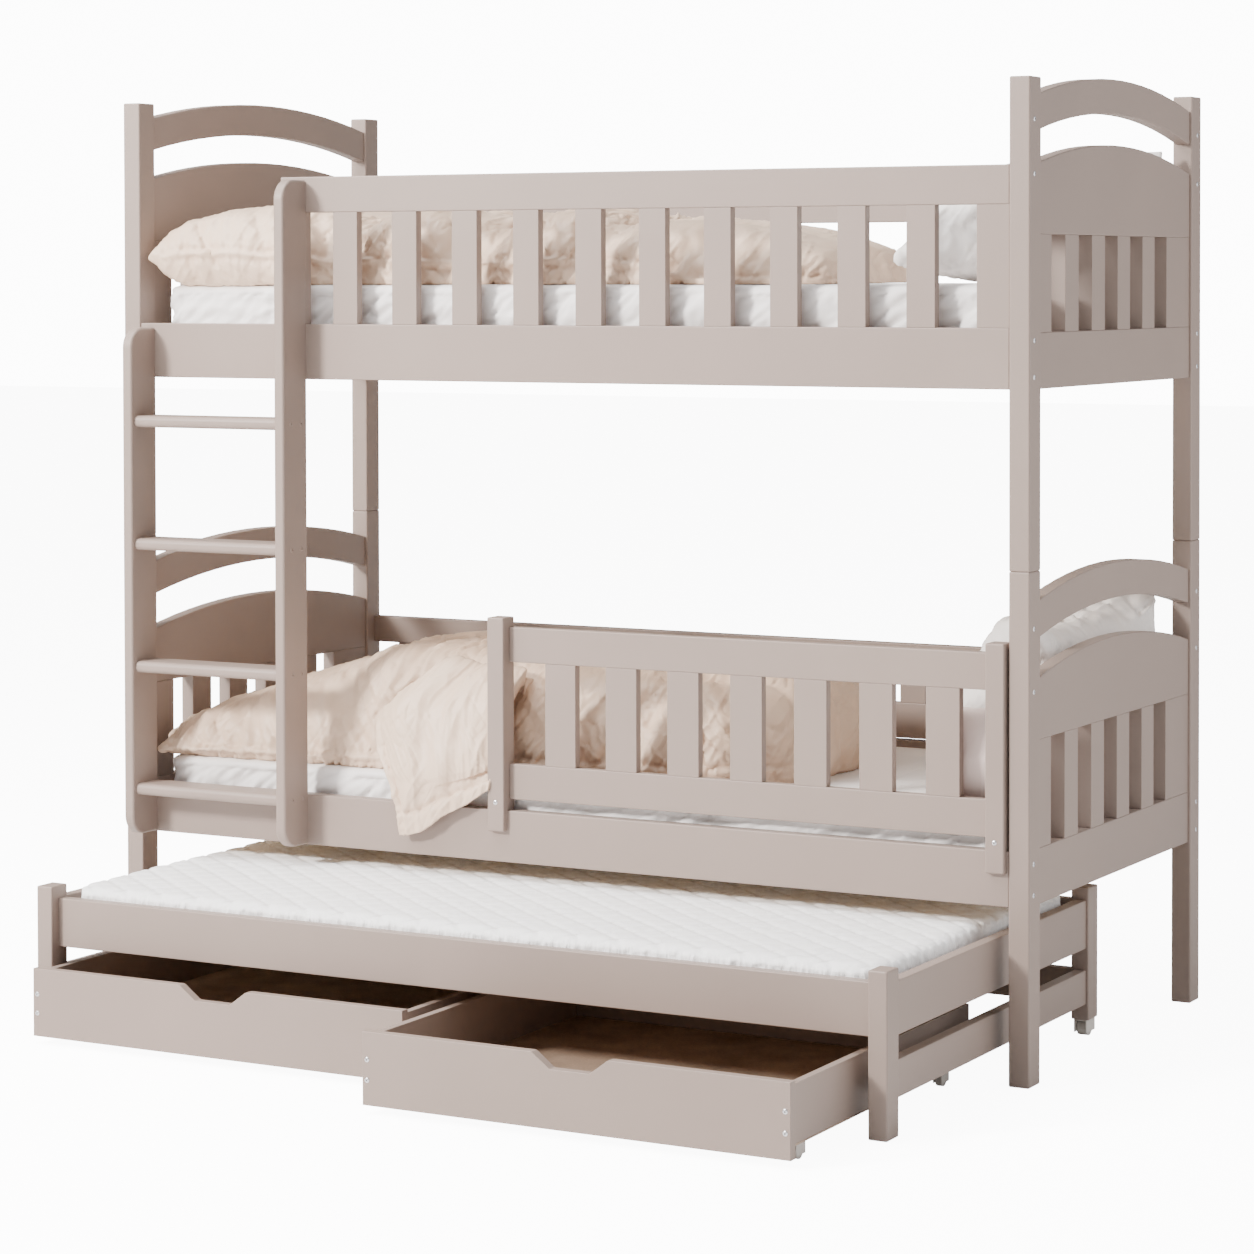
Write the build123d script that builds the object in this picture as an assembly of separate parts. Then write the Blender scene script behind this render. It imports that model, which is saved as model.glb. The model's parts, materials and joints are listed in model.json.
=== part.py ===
from build123d import *
import math
import os

# Triple bunk bed: two bunks one above the other, and a low bed on rollers that
# pulls out in front of them with two drawers under it.
# Millimetres, +Z up, the front of the bed towards -Y and the ladder at its left.
# The pieces are placed from the bed's own front: x = 0 is the middle of the bed,
# y = 0 the front faces of its posts and z = 0 the floor. Everything is then moved
# along Y, so that the origin lies on the floor under the middle of the whole thing.

# Frame of the two bunks
bed_length = 1880.0
bed_width = 850.0
post_x = 38.0
post_y = 50.0
post_round = 3.0
post_joint_height = 875.0
post_above_arch = 28.0
board_round = 2.0
small_round = 1.0

# Boards of the two ends
end_board_thickness = 28.0
end_board_height = 96.0
end_arch_rise = 41.0
upper_arch_end_height = 1682.0
upper_arch_rail_depth = 62.0
upper_panel_below_arch = 55.0
upper_panel_height = 120.0
upper_slot_height = 167.0
lower_arch_below_joint = 53.0
lower_arch_rail_depth = 64.0
lower_panel_below_arch = 68.0
lower_panel_height = 104.0
end_slot = 64.0
end_slat = 62.0
end_front_stile = 61.0
end_back_stile_least = 90.0
end_slat_recess = 0.5

# Long rails between the posts
rail_thickness = 26.0
rail_set_in = 2.0
upper_rail_height = 104.0
lower_rail_bottom = 305.0
lower_rail_height = 95.0
lower_back_rail_height = 155.0

# Guard of the upper bunk
guard_thickness = 22.0
guard_opening = 209.0
guard_rail_height = 67.0
guard_slat = 53.5
guard_slat_thickness = 18.0
guard_slat_gap = 76.6
guard_right_stile = 60.0
guard_left_stile = 56.0
guard_slat_recess = 0.4

# Guard along the back of each bunk
back_guard_thickness = 22.0
upper_back_guard_drop = 22.0
upper_back_guard_height = 60.0
lower_back_guard_opening = 62.0
lower_back_guard_height = 55.0
lower_back_guard_foot_gap = 3.0
lower_back_guard_foot_height = 70.0
back_guard_slat = 54.0
back_guard_slat_pitch = 130.0
back_guard_slat_thickness = 16.0

# Guard in front of the lower bunk
low_guard_right_gap = 4.0
low_guard_way_in = 783.0
low_guard_upright = 35.0
low_guard_upright_depth = 40.0
low_guard_upright_rise = 353.0
low_guard_lap = 12.0
low_guard_lap_drop = 38.0
low_guard_panel_set_back = 20.0
low_guard_panel_thickness = 18.0
low_guard_foot_gap = 20.0
low_guard_foot_height = 65.0
low_guard_top_drop = 18.0
low_guard_top_height = 64.0
low_guard_slat = 63.0
low_guard_slat_pitch = 125.5
low_guard_last_gap = 55.0
low_guard_round = 3.0
low_guard_bolt_above_rail = 15.0

# Ladder
ladder_from_end = 49.0
ladder_inside = 327.0
ladder_stile = 22.0
ladder_depth = 76.0
ladder_corner = 38.0
ladder_round = 5.0
ladder_left_drop = 8.0
ladder_right_drop = 6.0
ladder_foot_rise = 1.0
rung_count = 4
rung_lowest_top = 405.0
rung_spacing = 235.0
rung_thickness = 22.0
rung_set_back = 9.0
rung_round = 9.0
rung_screw_edge = 17.0

# Slatted bases
batten_width = 22.0
batten_height = 22.0
bed_slat_width = 70.0
bed_slat_pitch = 132.0
bed_slat_thickness = 15.0
bed_slat_end_gap = 2.0
upper_slat_drop = 34.0

# Screws, bolts and dowels
bolt_radius = 3.0
bolt_head_radius = 4.5
bolt_head_rise = 1.4
bolt_head_round = 0.8
bolt_in_rail = 35.0
bolt_from_post_front = 20.0
bolt_from_rail_edge = 21.0
screw_in_post = 28.0
arch_screw_below_top = 44.0
panel_screw_below_top = 19.0
rung_screw_in_rung = 40.0
rung_screw_radius = 2.5
dowel_radius = 5.0
dowel_length = 50.0
dowel_from_edge = 25.0
post_dowel_radius = 8.0
post_dowel_length = 70.0
hole_clearance = 0.05

# Mattresses of the bunks
mattress_thickness = 110.0
mattress_end_gap = 24.0
mattress_side_gap = 3.0
mattress_round = 18.0
mattress_corner = 45.0
mattress_crown = 6.0
soft_gap = 0.3

# Quilt on the upper bunk
upper_quilt_start = 22.0
upper_quilt_end_gap = 290.0
upper_quilt_front_gap = 14.0
upper_quilt_back_gap = 140.0
upper_quilt_height = 130.0

# Quilt on the lower bunk, with a corner that hangs over the front rail
lower_quilt_start = 22.0
lower_quilt_end_gap = 622.0
lower_quilt_front_gap = 8.0
lower_quilt_back_gap = 86.0
lower_quilt_height = 205.0
quilt_flap_from_end = 585.0
quilt_flap_width = 228.0
quilt_flap_drop = 104.0
quilt_flap_thickness = 24.0
quilt_flap_reach = 60.0
quilt_flap_seat = 60.0

# Pillows; the upper one slumps at the front and leans up at the back
upper_pillow_front_gap = 92.0
upper_pillow_back_gap = 62.0
upper_pillow_width = 320.0
upper_pillow_thickness = 150.0
upper_pillow_front_lean = 24.0
upper_pillow_back_lean = 50.0
lower_pillow_front_gap = 25.0
lower_pillow_back_gap = 31.0
lower_pillow_width = 420.0
lower_pillow_thickness = 190.0
lower_pillow_lean = 56.0
small_pillow_length = 190.0
small_pillow_width = 165.0
small_pillow_thickness = 110.0
small_pillow_front_gap = 12.0

# Low bed on rollers that pulls out in front
trundle_left_gap = 93.0
trundle_right_gap = 21.0
trundle_depth = 920.0
trundle_out = 447.0
trundle_height = 272.0
trundle_leg_x = 34.0
trundle_leg_y = 46.0
trundle_rail_bottom = 161.0
trundle_rail_height = 88.0
trundle_rail_thickness = 22.0
trundle_rail_set_back = 20.0
trundle_side_set_in = 5.0
trundle_low_rail_bottom = 60.0
trundle_low_rail_height = 62.0
trundle_slat_pitch = 126.0
trundle_mattress_thickness = 76.0
trundle_mattress_gap = 4.0

# Rollers under its back legs
roller_radius = 14.0
roller_width = 20.0
roller_bracket_length = 42.0
roller_leg_gap = 1.0

# Drawers
drawer_depth = 700.0
drawer_gap = 28.0
drawer_left_room = 5.0
drawer_right_room = 25.0
drawer_left_out = 61.0
drawer_right_out = 228.0
drawer_front_bottom = 14.0
drawer_front_height = 122.0
drawer_front_thickness = 18.0
drawer_side_thickness = 14.0
drawer_side_inset = 2.0
drawer_side_drop = 6.0
drawer_floor_height = 33.0
drawer_floor_thickness = 3.0
notch_top_width = 140.0
notch_bottom_width = 72.0
notch_depth = 25.0
notch_round = 8.0
drawer_screw_from_edge = 25.0
drawer_screw_from_top = 46.0
drawer_screw_spacing = 34.0
drawer_screw_in_side = 30.0
drawer_screw_radius = 2.0
drawer_screw_head_radius = 4.5

# Castors under the drawers
castor_radius = 13.0
castor_width = 12.0
castor_bracket_length = 32.0
castor_from_side = 22.0
castor_from_front = 70.0

# Brackets of rollers and castors
bracket_wall = 2.0
bracket_side_gap = 0.5
bracket_foot_share = 0.55
wheel_pin_radius = 2.5
wheel_running_gap = 0.05

# Shares of a pillow's length, width and thickness at each place along it
pillow_shares = (
    (0.0, 0.93, 0.10),
    (0.07, 0.97, 0.42),
    (0.22, 0.93, 0.83),
    (0.50, 0.90, 1.00),
    (0.78, 0.93, 0.83),
    (0.93, 0.97, 0.42),
    (1.0, 0.93, 0.10),
)
pillow_seam_share = 0.04

# Shares along the quilt, of its height and of its width, and where its front edge lies
upper_quilt_shares = (
    (0.0, 0.22, 0.35, 0.10),
    (0.05, 0.62, 0.72, 0.03),
    (0.13, 1.00, 0.90, 0.00),
    (0.20, 1.00, 0.97, 0.01),
    (0.28, 0.66, 0.95, 0.03),
    (0.40, 1.00, 1.00, 0.00),
    (0.51, 0.84, 0.97, 0.02),
    (0.60, 1.00, 1.00, 0.00),
    (0.69, 0.70, 0.96, 0.03),
    (0.80, 0.95, 0.98, 0.00),
    (0.92, 0.72, 0.90, 0.04),
    (1.0, 0.18, 0.60, 0.10),
)
lower_quilt_shares = (
    (0.0, 0.16, 0.45, 0.06),
    (0.06, 0.38, 0.75, 0.03),
    (0.18, 0.62, 0.92, 0.00),
    (0.32, 0.88, 1.00, 0.01),
    (0.46, 1.00, 1.00, 0.00),
    (0.57, 0.90, 0.98, 0.02),
    (0.70, 0.96, 0.94, 0.05),
    (0.84, 0.90, 0.86, 0.13),
    (0.95, 0.70, 0.70, 0.24),
    (1.0, 0.28, 0.45, 0.36),
)
quilt_shoulder_share = 0.72
quilt_foot_share = 0.3
quilt_crest_share = 0.34
# Shares along the hanging corner, and of how far down it hangs there
quilt_flap_shares = ((0.0, 0.16), (0.26, 1.0), (0.50, 0.90), (0.78, 0.42), (1.0, 0.28))

half_length = bed_length / 2
inner_half = half_length - post_x
inner_depth = bed_width - 2 * post_y
end_board_inset = (post_x - end_board_thickness) / 2
rail_front = rail_set_in
rail_back = rail_front + rail_thickness
front_reach = trundle_out + drawer_right_out + bolt_head_rise
origin_y = (bed_width - front_reach) / 2
bed_height = upper_arch_end_height + post_above_arch
upper_panel_end_height = upper_arch_end_height - upper_arch_rail_depth - upper_panel_below_arch
upper_panel_bottom = upper_panel_end_height - upper_panel_height
upper_rail_bottom = upper_panel_bottom - upper_slot_height - end_board_height
upper_rail_top = upper_rail_bottom + upper_rail_height
lower_arch_end_height = post_joint_height - lower_arch_below_joint
lower_panel_end_height = lower_arch_end_height - lower_arch_rail_depth - lower_panel_below_arch
lower_panel_bottom = lower_panel_end_height - lower_panel_height
lower_rail_top = lower_rail_bottom + lower_rail_height
upper_slat_top = upper_rail_top - upper_slat_drop
lower_slat_top = lower_rail_bottom + batten_height + bed_slat_thickness
upper_mattress_top = upper_slat_top + mattress_thickness
lower_mattress_top = lower_slat_top + mattress_thickness

holes = []
fasteners = {}


def block(x0, x1, y0, y1, z0, z1, rounding=0.0):
    """A board or bar between two corners, with all its edges rounded."""
    solid = Solid.make_box(x1 - x0, y1 - y0, z1 - z0, Plane(origin=(x0, y0, z0)))
    if rounding:
        solid = solid.fillet(rounding, solid.edges())
    return solid


def rod(start, direction, length, radius):
    """A round bar from a point, along a direction."""
    return Solid.make_cylinder(radius, length, Plane(origin=start, z_dir=direction))


def meets(p, q):
    """Whether two bounding boxes meet."""
    return (
        p.min.X <= q.max.X and q.min.X <= p.max.X
        and p.min.Y <= q.max.Y and q.min.Y <= p.max.Y
        and p.min.Z <= q.max.Z and q.min.Z <= p.max.Z
    )


def add_hole(start, direction, length, radius):
    """A hole, kept with its bounding box."""
    hole = rod(start, direction, length, radius)
    holes.append((hole, hole.bounding_box()))


def drilled(solid):
    """The piece with every hole that reaches it."""
    box = solid.bounding_box()
    near = [hole for hole, place in holes if meets(box, place)]
    return solid.cut(*near).solids()[0] if near else solid


def add_pin(node, start, direction, length, radius):
    """A dowel, with its hole in whatever it joins."""
    axis = Vector(*direction)
    fasteners.setdefault(node, []).append(rod(start, direction, length, radius))
    back = Vector(*start) - axis * hole_clearance
    add_hole(back, direction, length + 2 * hole_clearance, radius + hole_clearance)


def add_screw(node, head_at, direction, length, radius, head_radius):
    """A screw whose domed head stands on a face, with its hole."""
    axis = Vector(*direction)
    head = rod(Vector(*head_at) - axis * bolt_head_rise, direction, bolt_head_rise, head_radius)
    rim = head.edges().filter_by(GeomType.CIRCLE).sort_by(lambda edge: edge.center().dot(axis))[0]
    head = head.fillet(bolt_head_round, [rim])
    shank = rod(head_at, direction, length, radius)
    fasteners.setdefault(node, []).append(head.fuse(shank).solids()[0])
    add_hole(head_at, direction, length + hole_clearance, radius + hole_clearance)


def arched_board(x0, x1, y0, y1, bottom, end_top, rise, hollow=0.0):
    """A board across an end, with an arched top and, with a hollow, an arched underside."""
    middle = (y0 + y1) / 2
    top = ThreePointArc((x0, y0, end_top), (x0, middle, end_top + rise), (x0, y1, end_top))
    if hollow:
        foot = ThreePointArc((x0, y1, bottom), (x0, middle, bottom + hollow), (x0, y0, bottom))
    else:
        foot = Line((x0, y1, bottom), (x0, y0, bottom))
    back = Line((x0, y1, end_top), (x0, y1, bottom))
    front = Line((x0, y0, bottom), (x0, y0, end_top))
    face = Face(Wire([top, back, foot, front]))
    solid = Solid.extrude(face, Vector(x1 - x0, 0, 0))
    long_edges = [edge for edge in solid.edges() if edge.length > x1 - x0 + board_round]
    return solid.fillet(board_round, long_edges)


def export(node, solids):
    """Writes one node, moved to the frame whose origin is under the middle."""
    placed = [solid.moved(Location((0, -origin_y, 0))) for solid in solids]
    shape = placed[0] if len(placed) == 1 else Compound(children=placed)
    export_step(shape, f"parts/{node}.step")


def posts():
    """The lower and the upper posts, which meet on dowels between the bunks."""
    lower, upper = [], []
    for x0 in (-half_length, inner_half):
        for y0 in (0.0, bed_width - post_y):
            x1, y1 = x0 + post_x, y0 + post_y
            lower.append(block(x0, x1, y0, y1, 0.0, post_joint_height, post_round))
            upper.append(block(x0, x1, y0, y1, post_joint_height, bed_height, post_round))
            foot = (x0 + post_x / 2, y0 + post_y / 2, post_joint_height - post_dowel_length / 2)
            add_pin("post_dowels", foot, (0, 0, 1), post_dowel_length, post_dowel_radius)
    return lower, upper


def end_rows():
    """Where the slots of an end lie, from the front post backwards."""
    room = inner_depth - end_front_stile - end_back_stile_least + end_slat
    count = int(room / (end_slot + end_slat))
    first = post_y + end_front_stile
    return [first + place * (end_slot + end_slat) for place in range(count)]


def end_boards(x0, x1, board_bottom, panel_bottom, panel_end, arch_end, arch_depth):
    """The arched rail, arched panel, slats and bottom board of one end of a bunk."""
    y0, y1 = post_y, bed_width - post_y
    board_top = board_bottom + end_board_height
    board = block(x0, x1, y0, y1, board_bottom, board_top, board_round)
    panel = arched_board(x0, x1, y0, y1, panel_bottom, panel_end, end_arch_rise)
    arch = arched_board(x0, x1, y0, y1, arch_end - arch_depth, arch_end, end_arch_rise, end_arch_rise)
    slots = end_rows()
    edges = [y0] + [edge for slot in slots for edge in (slot, slot + end_slot)] + [y1]
    slats = [
        block(x0 + end_slat_recess, x1 - end_slat_recess, low, high, board_top, panel_bottom, small_round)
        for low, high in zip(edges[::2], edges[1::2])
    ]
    middle = (x0 + x1) / 2
    heights = (
        arch_end - arch_depth / 2,
        panel_end - dowel_from_edge,
        panel_bottom + dowel_from_edge,
        board_top - dowel_from_edge,
        board_bottom + dowel_from_edge,
    )
    for height in heights:
        for y in (y0, y1):
            start = (middle, y - dowel_length / 2, height)
            add_pin("end_dowels", start, (0, 1, 0), dowel_length, dowel_radius)
    return arch, panel, slats, board


def post_screws():
    """Screws in the outer faces of the posts: into the long rails and the end boards."""
    bunks = (
        (upper_rail_bottom, upper_rail_top, upper_panel_end_height, upper_arch_end_height),
        (lower_rail_bottom, lower_rail_top, lower_panel_end_height, lower_arch_end_height),
    )
    for side in (-1, 1):
        for y in (bolt_from_post_front, bed_width - bolt_from_post_front):
            for rail_bottom, rail_top, panel_end, arch_end in bunks:
                for z in (rail_bottom + bolt_from_rail_edge, rail_top - bolt_from_rail_edge):
                    length = post_x + bolt_in_rail
                    at = (side * half_length, y, z)
                    add_screw("frame_bolts", at, (-side, 0, 0), length, bolt_radius, bolt_head_radius)
                for z in (panel_end - panel_screw_below_top, arch_end - arch_screw_below_top):
                    at = (side * half_length, y, z)
                    add_screw("frame_bolts", at, (-side, 0, 0), screw_in_post, bolt_radius, bolt_head_radius)


def rail(bottom, height, back=False):
    """A long rail between the posts, at the front or at the back."""
    y0 = bed_width - rail_back if back else rail_front
    return block(-inner_half, inner_half, y0, y0 + rail_thickness, bottom, bottom + height, board_round)


ladder_left = -half_length + ladder_from_end
ladder_rung_left = ladder_left + ladder_stile
ladder_rung_right = ladder_rung_left + ladder_inside
ladder_right = ladder_rung_right + ladder_stile
ladder_front = rail_front - ladder_depth
guard_left = ladder_right - guard_left_stile
guard_rail_bottom = upper_rail_top + guard_opening
guard_rail_top = guard_rail_bottom + guard_rail_height


def upper_guard():
    """The guard above the front board: its top rail, its slats and its end stiles."""
    y0, y1 = rail_front, rail_front + guard_thickness
    top = block(guard_left, inner_half, y0, y1, guard_rail_bottom, guard_rail_top, board_round)
    face = y0 + guard_slat_recess
    depth = face + guard_slat_thickness
    right = inner_half - guard_right_stile
    spans = [(guard_left, ladder_right), (right, inner_half)]
    pitch = guard_slat + guard_slat_gap
    for place in range(int((right - ladder_right) / pitch)):
        low = right - guard_slat_gap - guard_slat - place * pitch
        spans.append((low, low + guard_slat))
    slats = [block(a, b, face, depth, upper_rail_top, guard_rail_bottom, small_round) for a, b in spans]
    return top, slats


def back_guards():
    """The single rail behind the upper bunk and the slatted guard behind the lower one."""
    y1 = bed_width - rail_set_in
    y0 = y1 - back_guard_thickness
    upper_top = guard_rail_top - upper_back_guard_drop
    upper_low = upper_top - upper_back_guard_height
    foot_low = lower_rail_bottom + lower_back_rail_height + lower_back_guard_foot_gap
    foot_top = foot_low + lower_back_guard_foot_height
    lower_low = foot_top + lower_back_guard_opening
    lower_top = lower_low + lower_back_guard_height
    rails = [
        block(-inner_half, inner_half, y0, y1, upper_low, upper_top, board_round),
        block(-inner_half, inner_half, y0, y1, lower_low, lower_top, board_round),
        block(-inner_half, inner_half, y0, y1, foot_low, foot_top, board_round),
    ]
    middle = (y0 + y1) / 2
    face, depth = middle - back_guard_slat_thickness / 2, middle + back_guard_slat_thickness / 2
    slats = []
    for place in range(1 + int((2 * inner_half - back_guard_slat) / back_guard_slat_pitch)):
        right = inner_half - place * back_guard_slat_pitch
        slats.append(block(right - back_guard_slat, right, face, depth, foot_top, lower_low, small_round))
    return rails, slats


def ladder_stile_piece(x0, top):
    """One side of the ladder, with its two front corners rounded off."""
    y0, y1 = ladder_front, rail_front
    foot = lower_rail_bottom + ladder_foot_rise
    solid = block(x0, x0 + ladder_stile, y0, y1, foot, top)
    corners = [
        edge for edge in solid.edges().filter_by(Axis.X) if edge.center().Y < (y0 + y1) / 2
    ]
    solid = solid.fillet(ladder_corner, corners)
    rims = [edge for edge in solid.edges() if edge.length > ladder_stile + ladder_round]
    fronts = [edge for edge in rims if edge.center().Y < y1 - ladder_round]
    return solid.fillet(ladder_round, fronts)


def rung_heights():
    """The tops of the rungs, from the lowest one upwards."""
    return [rung_lowest_top + place * rung_spacing for place in range(rung_count)]


def ladder_rungs():
    """The rungs, with rounded noses, and the screws that hold them from outside."""
    y0, y1 = ladder_front + rung_set_back, rail_front - small_round
    rungs = []
    for top in rung_heights():
        rung = block(ladder_rung_left, ladder_rung_right, y0, y1, top - rung_thickness, top)
        nose = [edge for edge in rung.edges().filter_by(Axis.X) if edge.center().Y < (y0 + y1) / 2]
        rungs.append(rung.fillet(rung_round, nose))
        for y in (y0 + rung_screw_edge, y1 - rung_screw_edge):
            z = top - rung_thickness / 2
            length = ladder_stile + rung_screw_in_rung
            for x, way in ((ladder_left, 1), (ladder_right, -1)):
                at = (x, y, z)
                add_screw("ladder_screws", at, (way, 0, 0), length, rung_screw_radius, bolt_head_radius)
    return rungs


low_guard_right = inner_half - low_guard_right_gap
low_guard_left = -inner_half + low_guard_way_in
low_guard_front = rail_front - low_guard_lap
low_guard_upright_top = lower_rail_top + low_guard_upright_rise
low_guard_top = low_guard_upright_top - low_guard_top_drop


def low_guard():
    """The guard in front of the lower bunk: two uprights that lap over the rail, rails and slats."""
    back = low_guard_front + low_guard_upright_depth
    uprights = []
    for x0 in (low_guard_left, low_guard_right - low_guard_upright):
        x1 = x0 + low_guard_upright
        low = lower_rail_top - low_guard_lap_drop
        bar = block(x0, x1, low_guard_front, back, low, low_guard_upright_top, low_guard_round)
        lap = block(x0, x1, rail_front, back, low, lower_rail_top)
        uprights.append(bar.cut(lap).solids()[0])
        at = ((x0 + x1) / 2, low_guard_front, lower_rail_top + low_guard_bolt_above_rail)
        length = low_guard_upright_depth - low_guard_round
        add_screw("frame_bolts", at, (0, 1, 0), length, bolt_radius, bolt_head_radius)
    left, right = low_guard_left + low_guard_upright, low_guard_right - low_guard_upright
    y0 = low_guard_front + low_guard_panel_set_back
    y1 = y0 + low_guard_panel_thickness
    foot_low = lower_rail_top + low_guard_foot_gap
    foot_top = foot_low + low_guard_foot_height
    top_low = low_guard_top - low_guard_top_height
    rails = [
        block(left, right, y0, y1, foot_low, foot_top, board_round),
        block(left, right, y0, y1, top_low, low_guard_top, board_round),
    ]
    slats = []
    for place in range(int((right - left) / low_guard_slat_pitch)):
        high = right - low_guard_last_gap - place * low_guard_slat_pitch
        face, depth = y0 + guard_slat_recess, y1 - guard_slat_recess
        slats.append(block(high - low_guard_slat, high, face, depth, foot_top, top_low, small_round))
    return uprights, rails, slats


def slat_base(x0, x1, y0, y1, top, pitch):
    """Two battens along the rails and the slats that lie across them."""
    batten_top = top - bed_slat_thickness
    low = batten_top - batten_height
    battens = [
        block(x0, x1, y0, y0 + batten_width, low, batten_top, small_round),
        block(x0, x1, y1 - batten_width, y1, low, batten_top, small_round),
    ]
    count = 1 + int((x1 - x0 - bed_slat_width) / pitch)
    spare = x1 - x0 - bed_slat_width - (count - 1) * pitch
    slats = []
    for place in range(count):
        left = x0 + spare / 2 + place * pitch
        low_y, high_y = y0 + bed_slat_end_gap, y1 - bed_slat_end_gap
        slats.append(block(left, left + bed_slat_width, low_y, high_y, batten_top, top, small_round))
    return battens, slats


def mattress(x0, x1, y0, y1, z0, thickness):
    """A mattress with rounded corners, a crowned top and sides that are drawn in at its edges."""
    middle = (y0 + y1) / 2
    top = z0 + thickness
    shoulder = top - mattress_crown
    crown = ThreePointArc((x0, y0, shoulder), (x0, middle, top), (x0, y1, shoulder))
    back = Line((x0, y1, shoulder), (x0, y1, z0))
    foot = Line((x0, y1, z0), (x0, y0, z0))
    front = Line((x0, y0, z0), (x0, y0, shoulder))
    solid = Solid.extrude(Face(Wire([crown, back, foot, front])), Vector(x1 - x0, 0, 0))
    solid = solid.fillet(mattress_corner, solid.edges().filter_by(Axis.Z))
    return solid.fillet(mattress_round, [edge for edge in solid.edges() if not on_side(edge, z0, shoulder)])


def crown_fall(y):
    """How far the top of a bunk's mattress lies below its crown, at a place across it."""
    half_width = bed_width / 2 - rail_back - mattress_side_gap
    return mattress_crown * ((y - bed_width / 2) / half_width) ** 2


def on_side(edge, low, high):
    """Whether an edge runs up the side of a mattress."""
    box = edge.bounding_box()
    return box.size.Z > (high - low) / 2


def quilt_section(x, y0, y1, z0, height):
    """A slice across a quilt: flat below, with bellied sides and a crest near the front."""
    width = y1 - y0
    foot = height * quilt_foot_share
    shoulder = z0 + height * quilt_shoulder_share
    belly = (z0 + shoulder) / 2
    crest = y0 + width * quilt_crest_share
    p1, p2 = (x, y0 + foot, z0), (x, y1 - foot, z0)
    p3, p4 = (x, y1 - foot, shoulder), (x, y0 + foot, shoulder)
    return Wire([
        Line(p1, p2),
        ThreePointArc(p2, (x, y1, belly), p3),
        ThreePointArc(p3, (x, crest, z0 + height), p4),
        ThreePointArc(p4, (x, y0, belly), p1),
    ])


def quilt(start, end_gap, front_gap, back_gap, z0, height, shares):
    """A rumpled quilt: its main folds follow one another along the bed."""
    length = 2 * inner_half - start - end_gap
    front = rail_back + front_gap
    width = bed_width - rail_back - back_gap - front
    sections = []
    for along, high, wide, inward in shares:
        y0 = front + inward * width
        x = -inner_half + start + along * length
        sections.append(quilt_section(x, y0, y0 + wide * width, z0, high * height))
    return Solid.make_loft(sections, ruled=True)


def quilt_flap(z0):
    """The corner of the lower quilt that hangs over the front rail."""
    start = -half_length + quilt_flap_from_end
    inside = rail_front - soft_gap - small_round
    outside = inside - quilt_flap_thickness
    back = rail_back + lower_quilt_front_gap + quilt_flap_seat
    sections = []
    for along, down in quilt_flap_shares:
        x = start + along * quilt_flap_width
        low = z0 - down * quilt_flap_drop
        points = [
            (x, back, z0),
            (x, inside, z0 - soft_gap),
            (x, inside, low),
            (x, outside, low),
            (x, outside, z0 + quilt_flap_reach / 2),
            (x, back, z0 + quilt_flap_reach),
        ]
        sections.append(Wire([Line(a, b) for a, b in zip(points, points[1:] + points[:1])]))
    return Solid.make_loft(sections, ruled=True)


def pillow(length, width, thickness, front_lean=0.0, back_lean=0.0):
    """A pillow whose head edge is the origin's line along Y, leaning up from its foot edge."""
    sections = []
    for along, wide, thick in pillow_shares:
        y = (along - 0.5) * length
        lean = math.radians(front_lean + along * (back_lean - front_lean))
        across = Vector(math.cos(lean), 0, math.sin(lean))
        up = Vector(-math.sin(lean), 0, math.cos(lean))
        foot = Vector(0, y, width * math.sin(lean)) - across * (width * wide)
        head = Vector(0, y, width * math.sin(lean))
        middle = (foot + head) / 2
        rise = up * (thick * thickness / 2)
        seam = up * (pillow_seam_share * thickness / 2)
        sections.append(Wire([
            ThreePointArc(foot + seam, middle + rise, head + seam),
            Line(head + seam, head - seam),
            ThreePointArc(head - seam, middle - rise, foot - seam),
            Line(foot - seam, foot + seam),
        ]))
    return Solid.make_loft(sections, ruled=True)


def bedding():
    """Mattresses, quilts and pillows of both bunks."""
    x0, x1 = -inner_half + mattress_end_gap, inner_half - mattress_end_gap
    y0, y1 = rail_back + mattress_side_gap, bed_width - rail_back - mattress_side_gap
    pieces = {}
    pieces["upper_mattress"] = mattress(x0, x1, y0, y1, upper_slat_top, mattress_thickness)
    pieces["lower_mattress"] = mattress(x0, x1, y0, y1, lower_slat_top, mattress_thickness)
    pieces["upper_quilt"] = quilt(
        upper_quilt_start, upper_quilt_end_gap, upper_quilt_front_gap, upper_quilt_back_gap,
        upper_mattress_top + soft_gap, upper_quilt_height, upper_quilt_shares,
    )
    lower_z = lower_mattress_top + soft_gap
    lower = quilt(
        lower_quilt_start, lower_quilt_end_gap, lower_quilt_front_gap, lower_quilt_back_gap,
        lower_z, lower_quilt_height, lower_quilt_shares,
    )
    pieces["lower_quilt"] = lower.fuse(quilt_flap(lower_z)).solids()[0]
    return pieces


def seated(solid, x_right, middle, z_low):
    """A soft piece moved until it touches the end on its right and what lies under it."""
    box = solid.bounding_box()
    return solid.moved(Location((x_right - box.max.X, middle, z_low - box.min.Z)))


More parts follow.
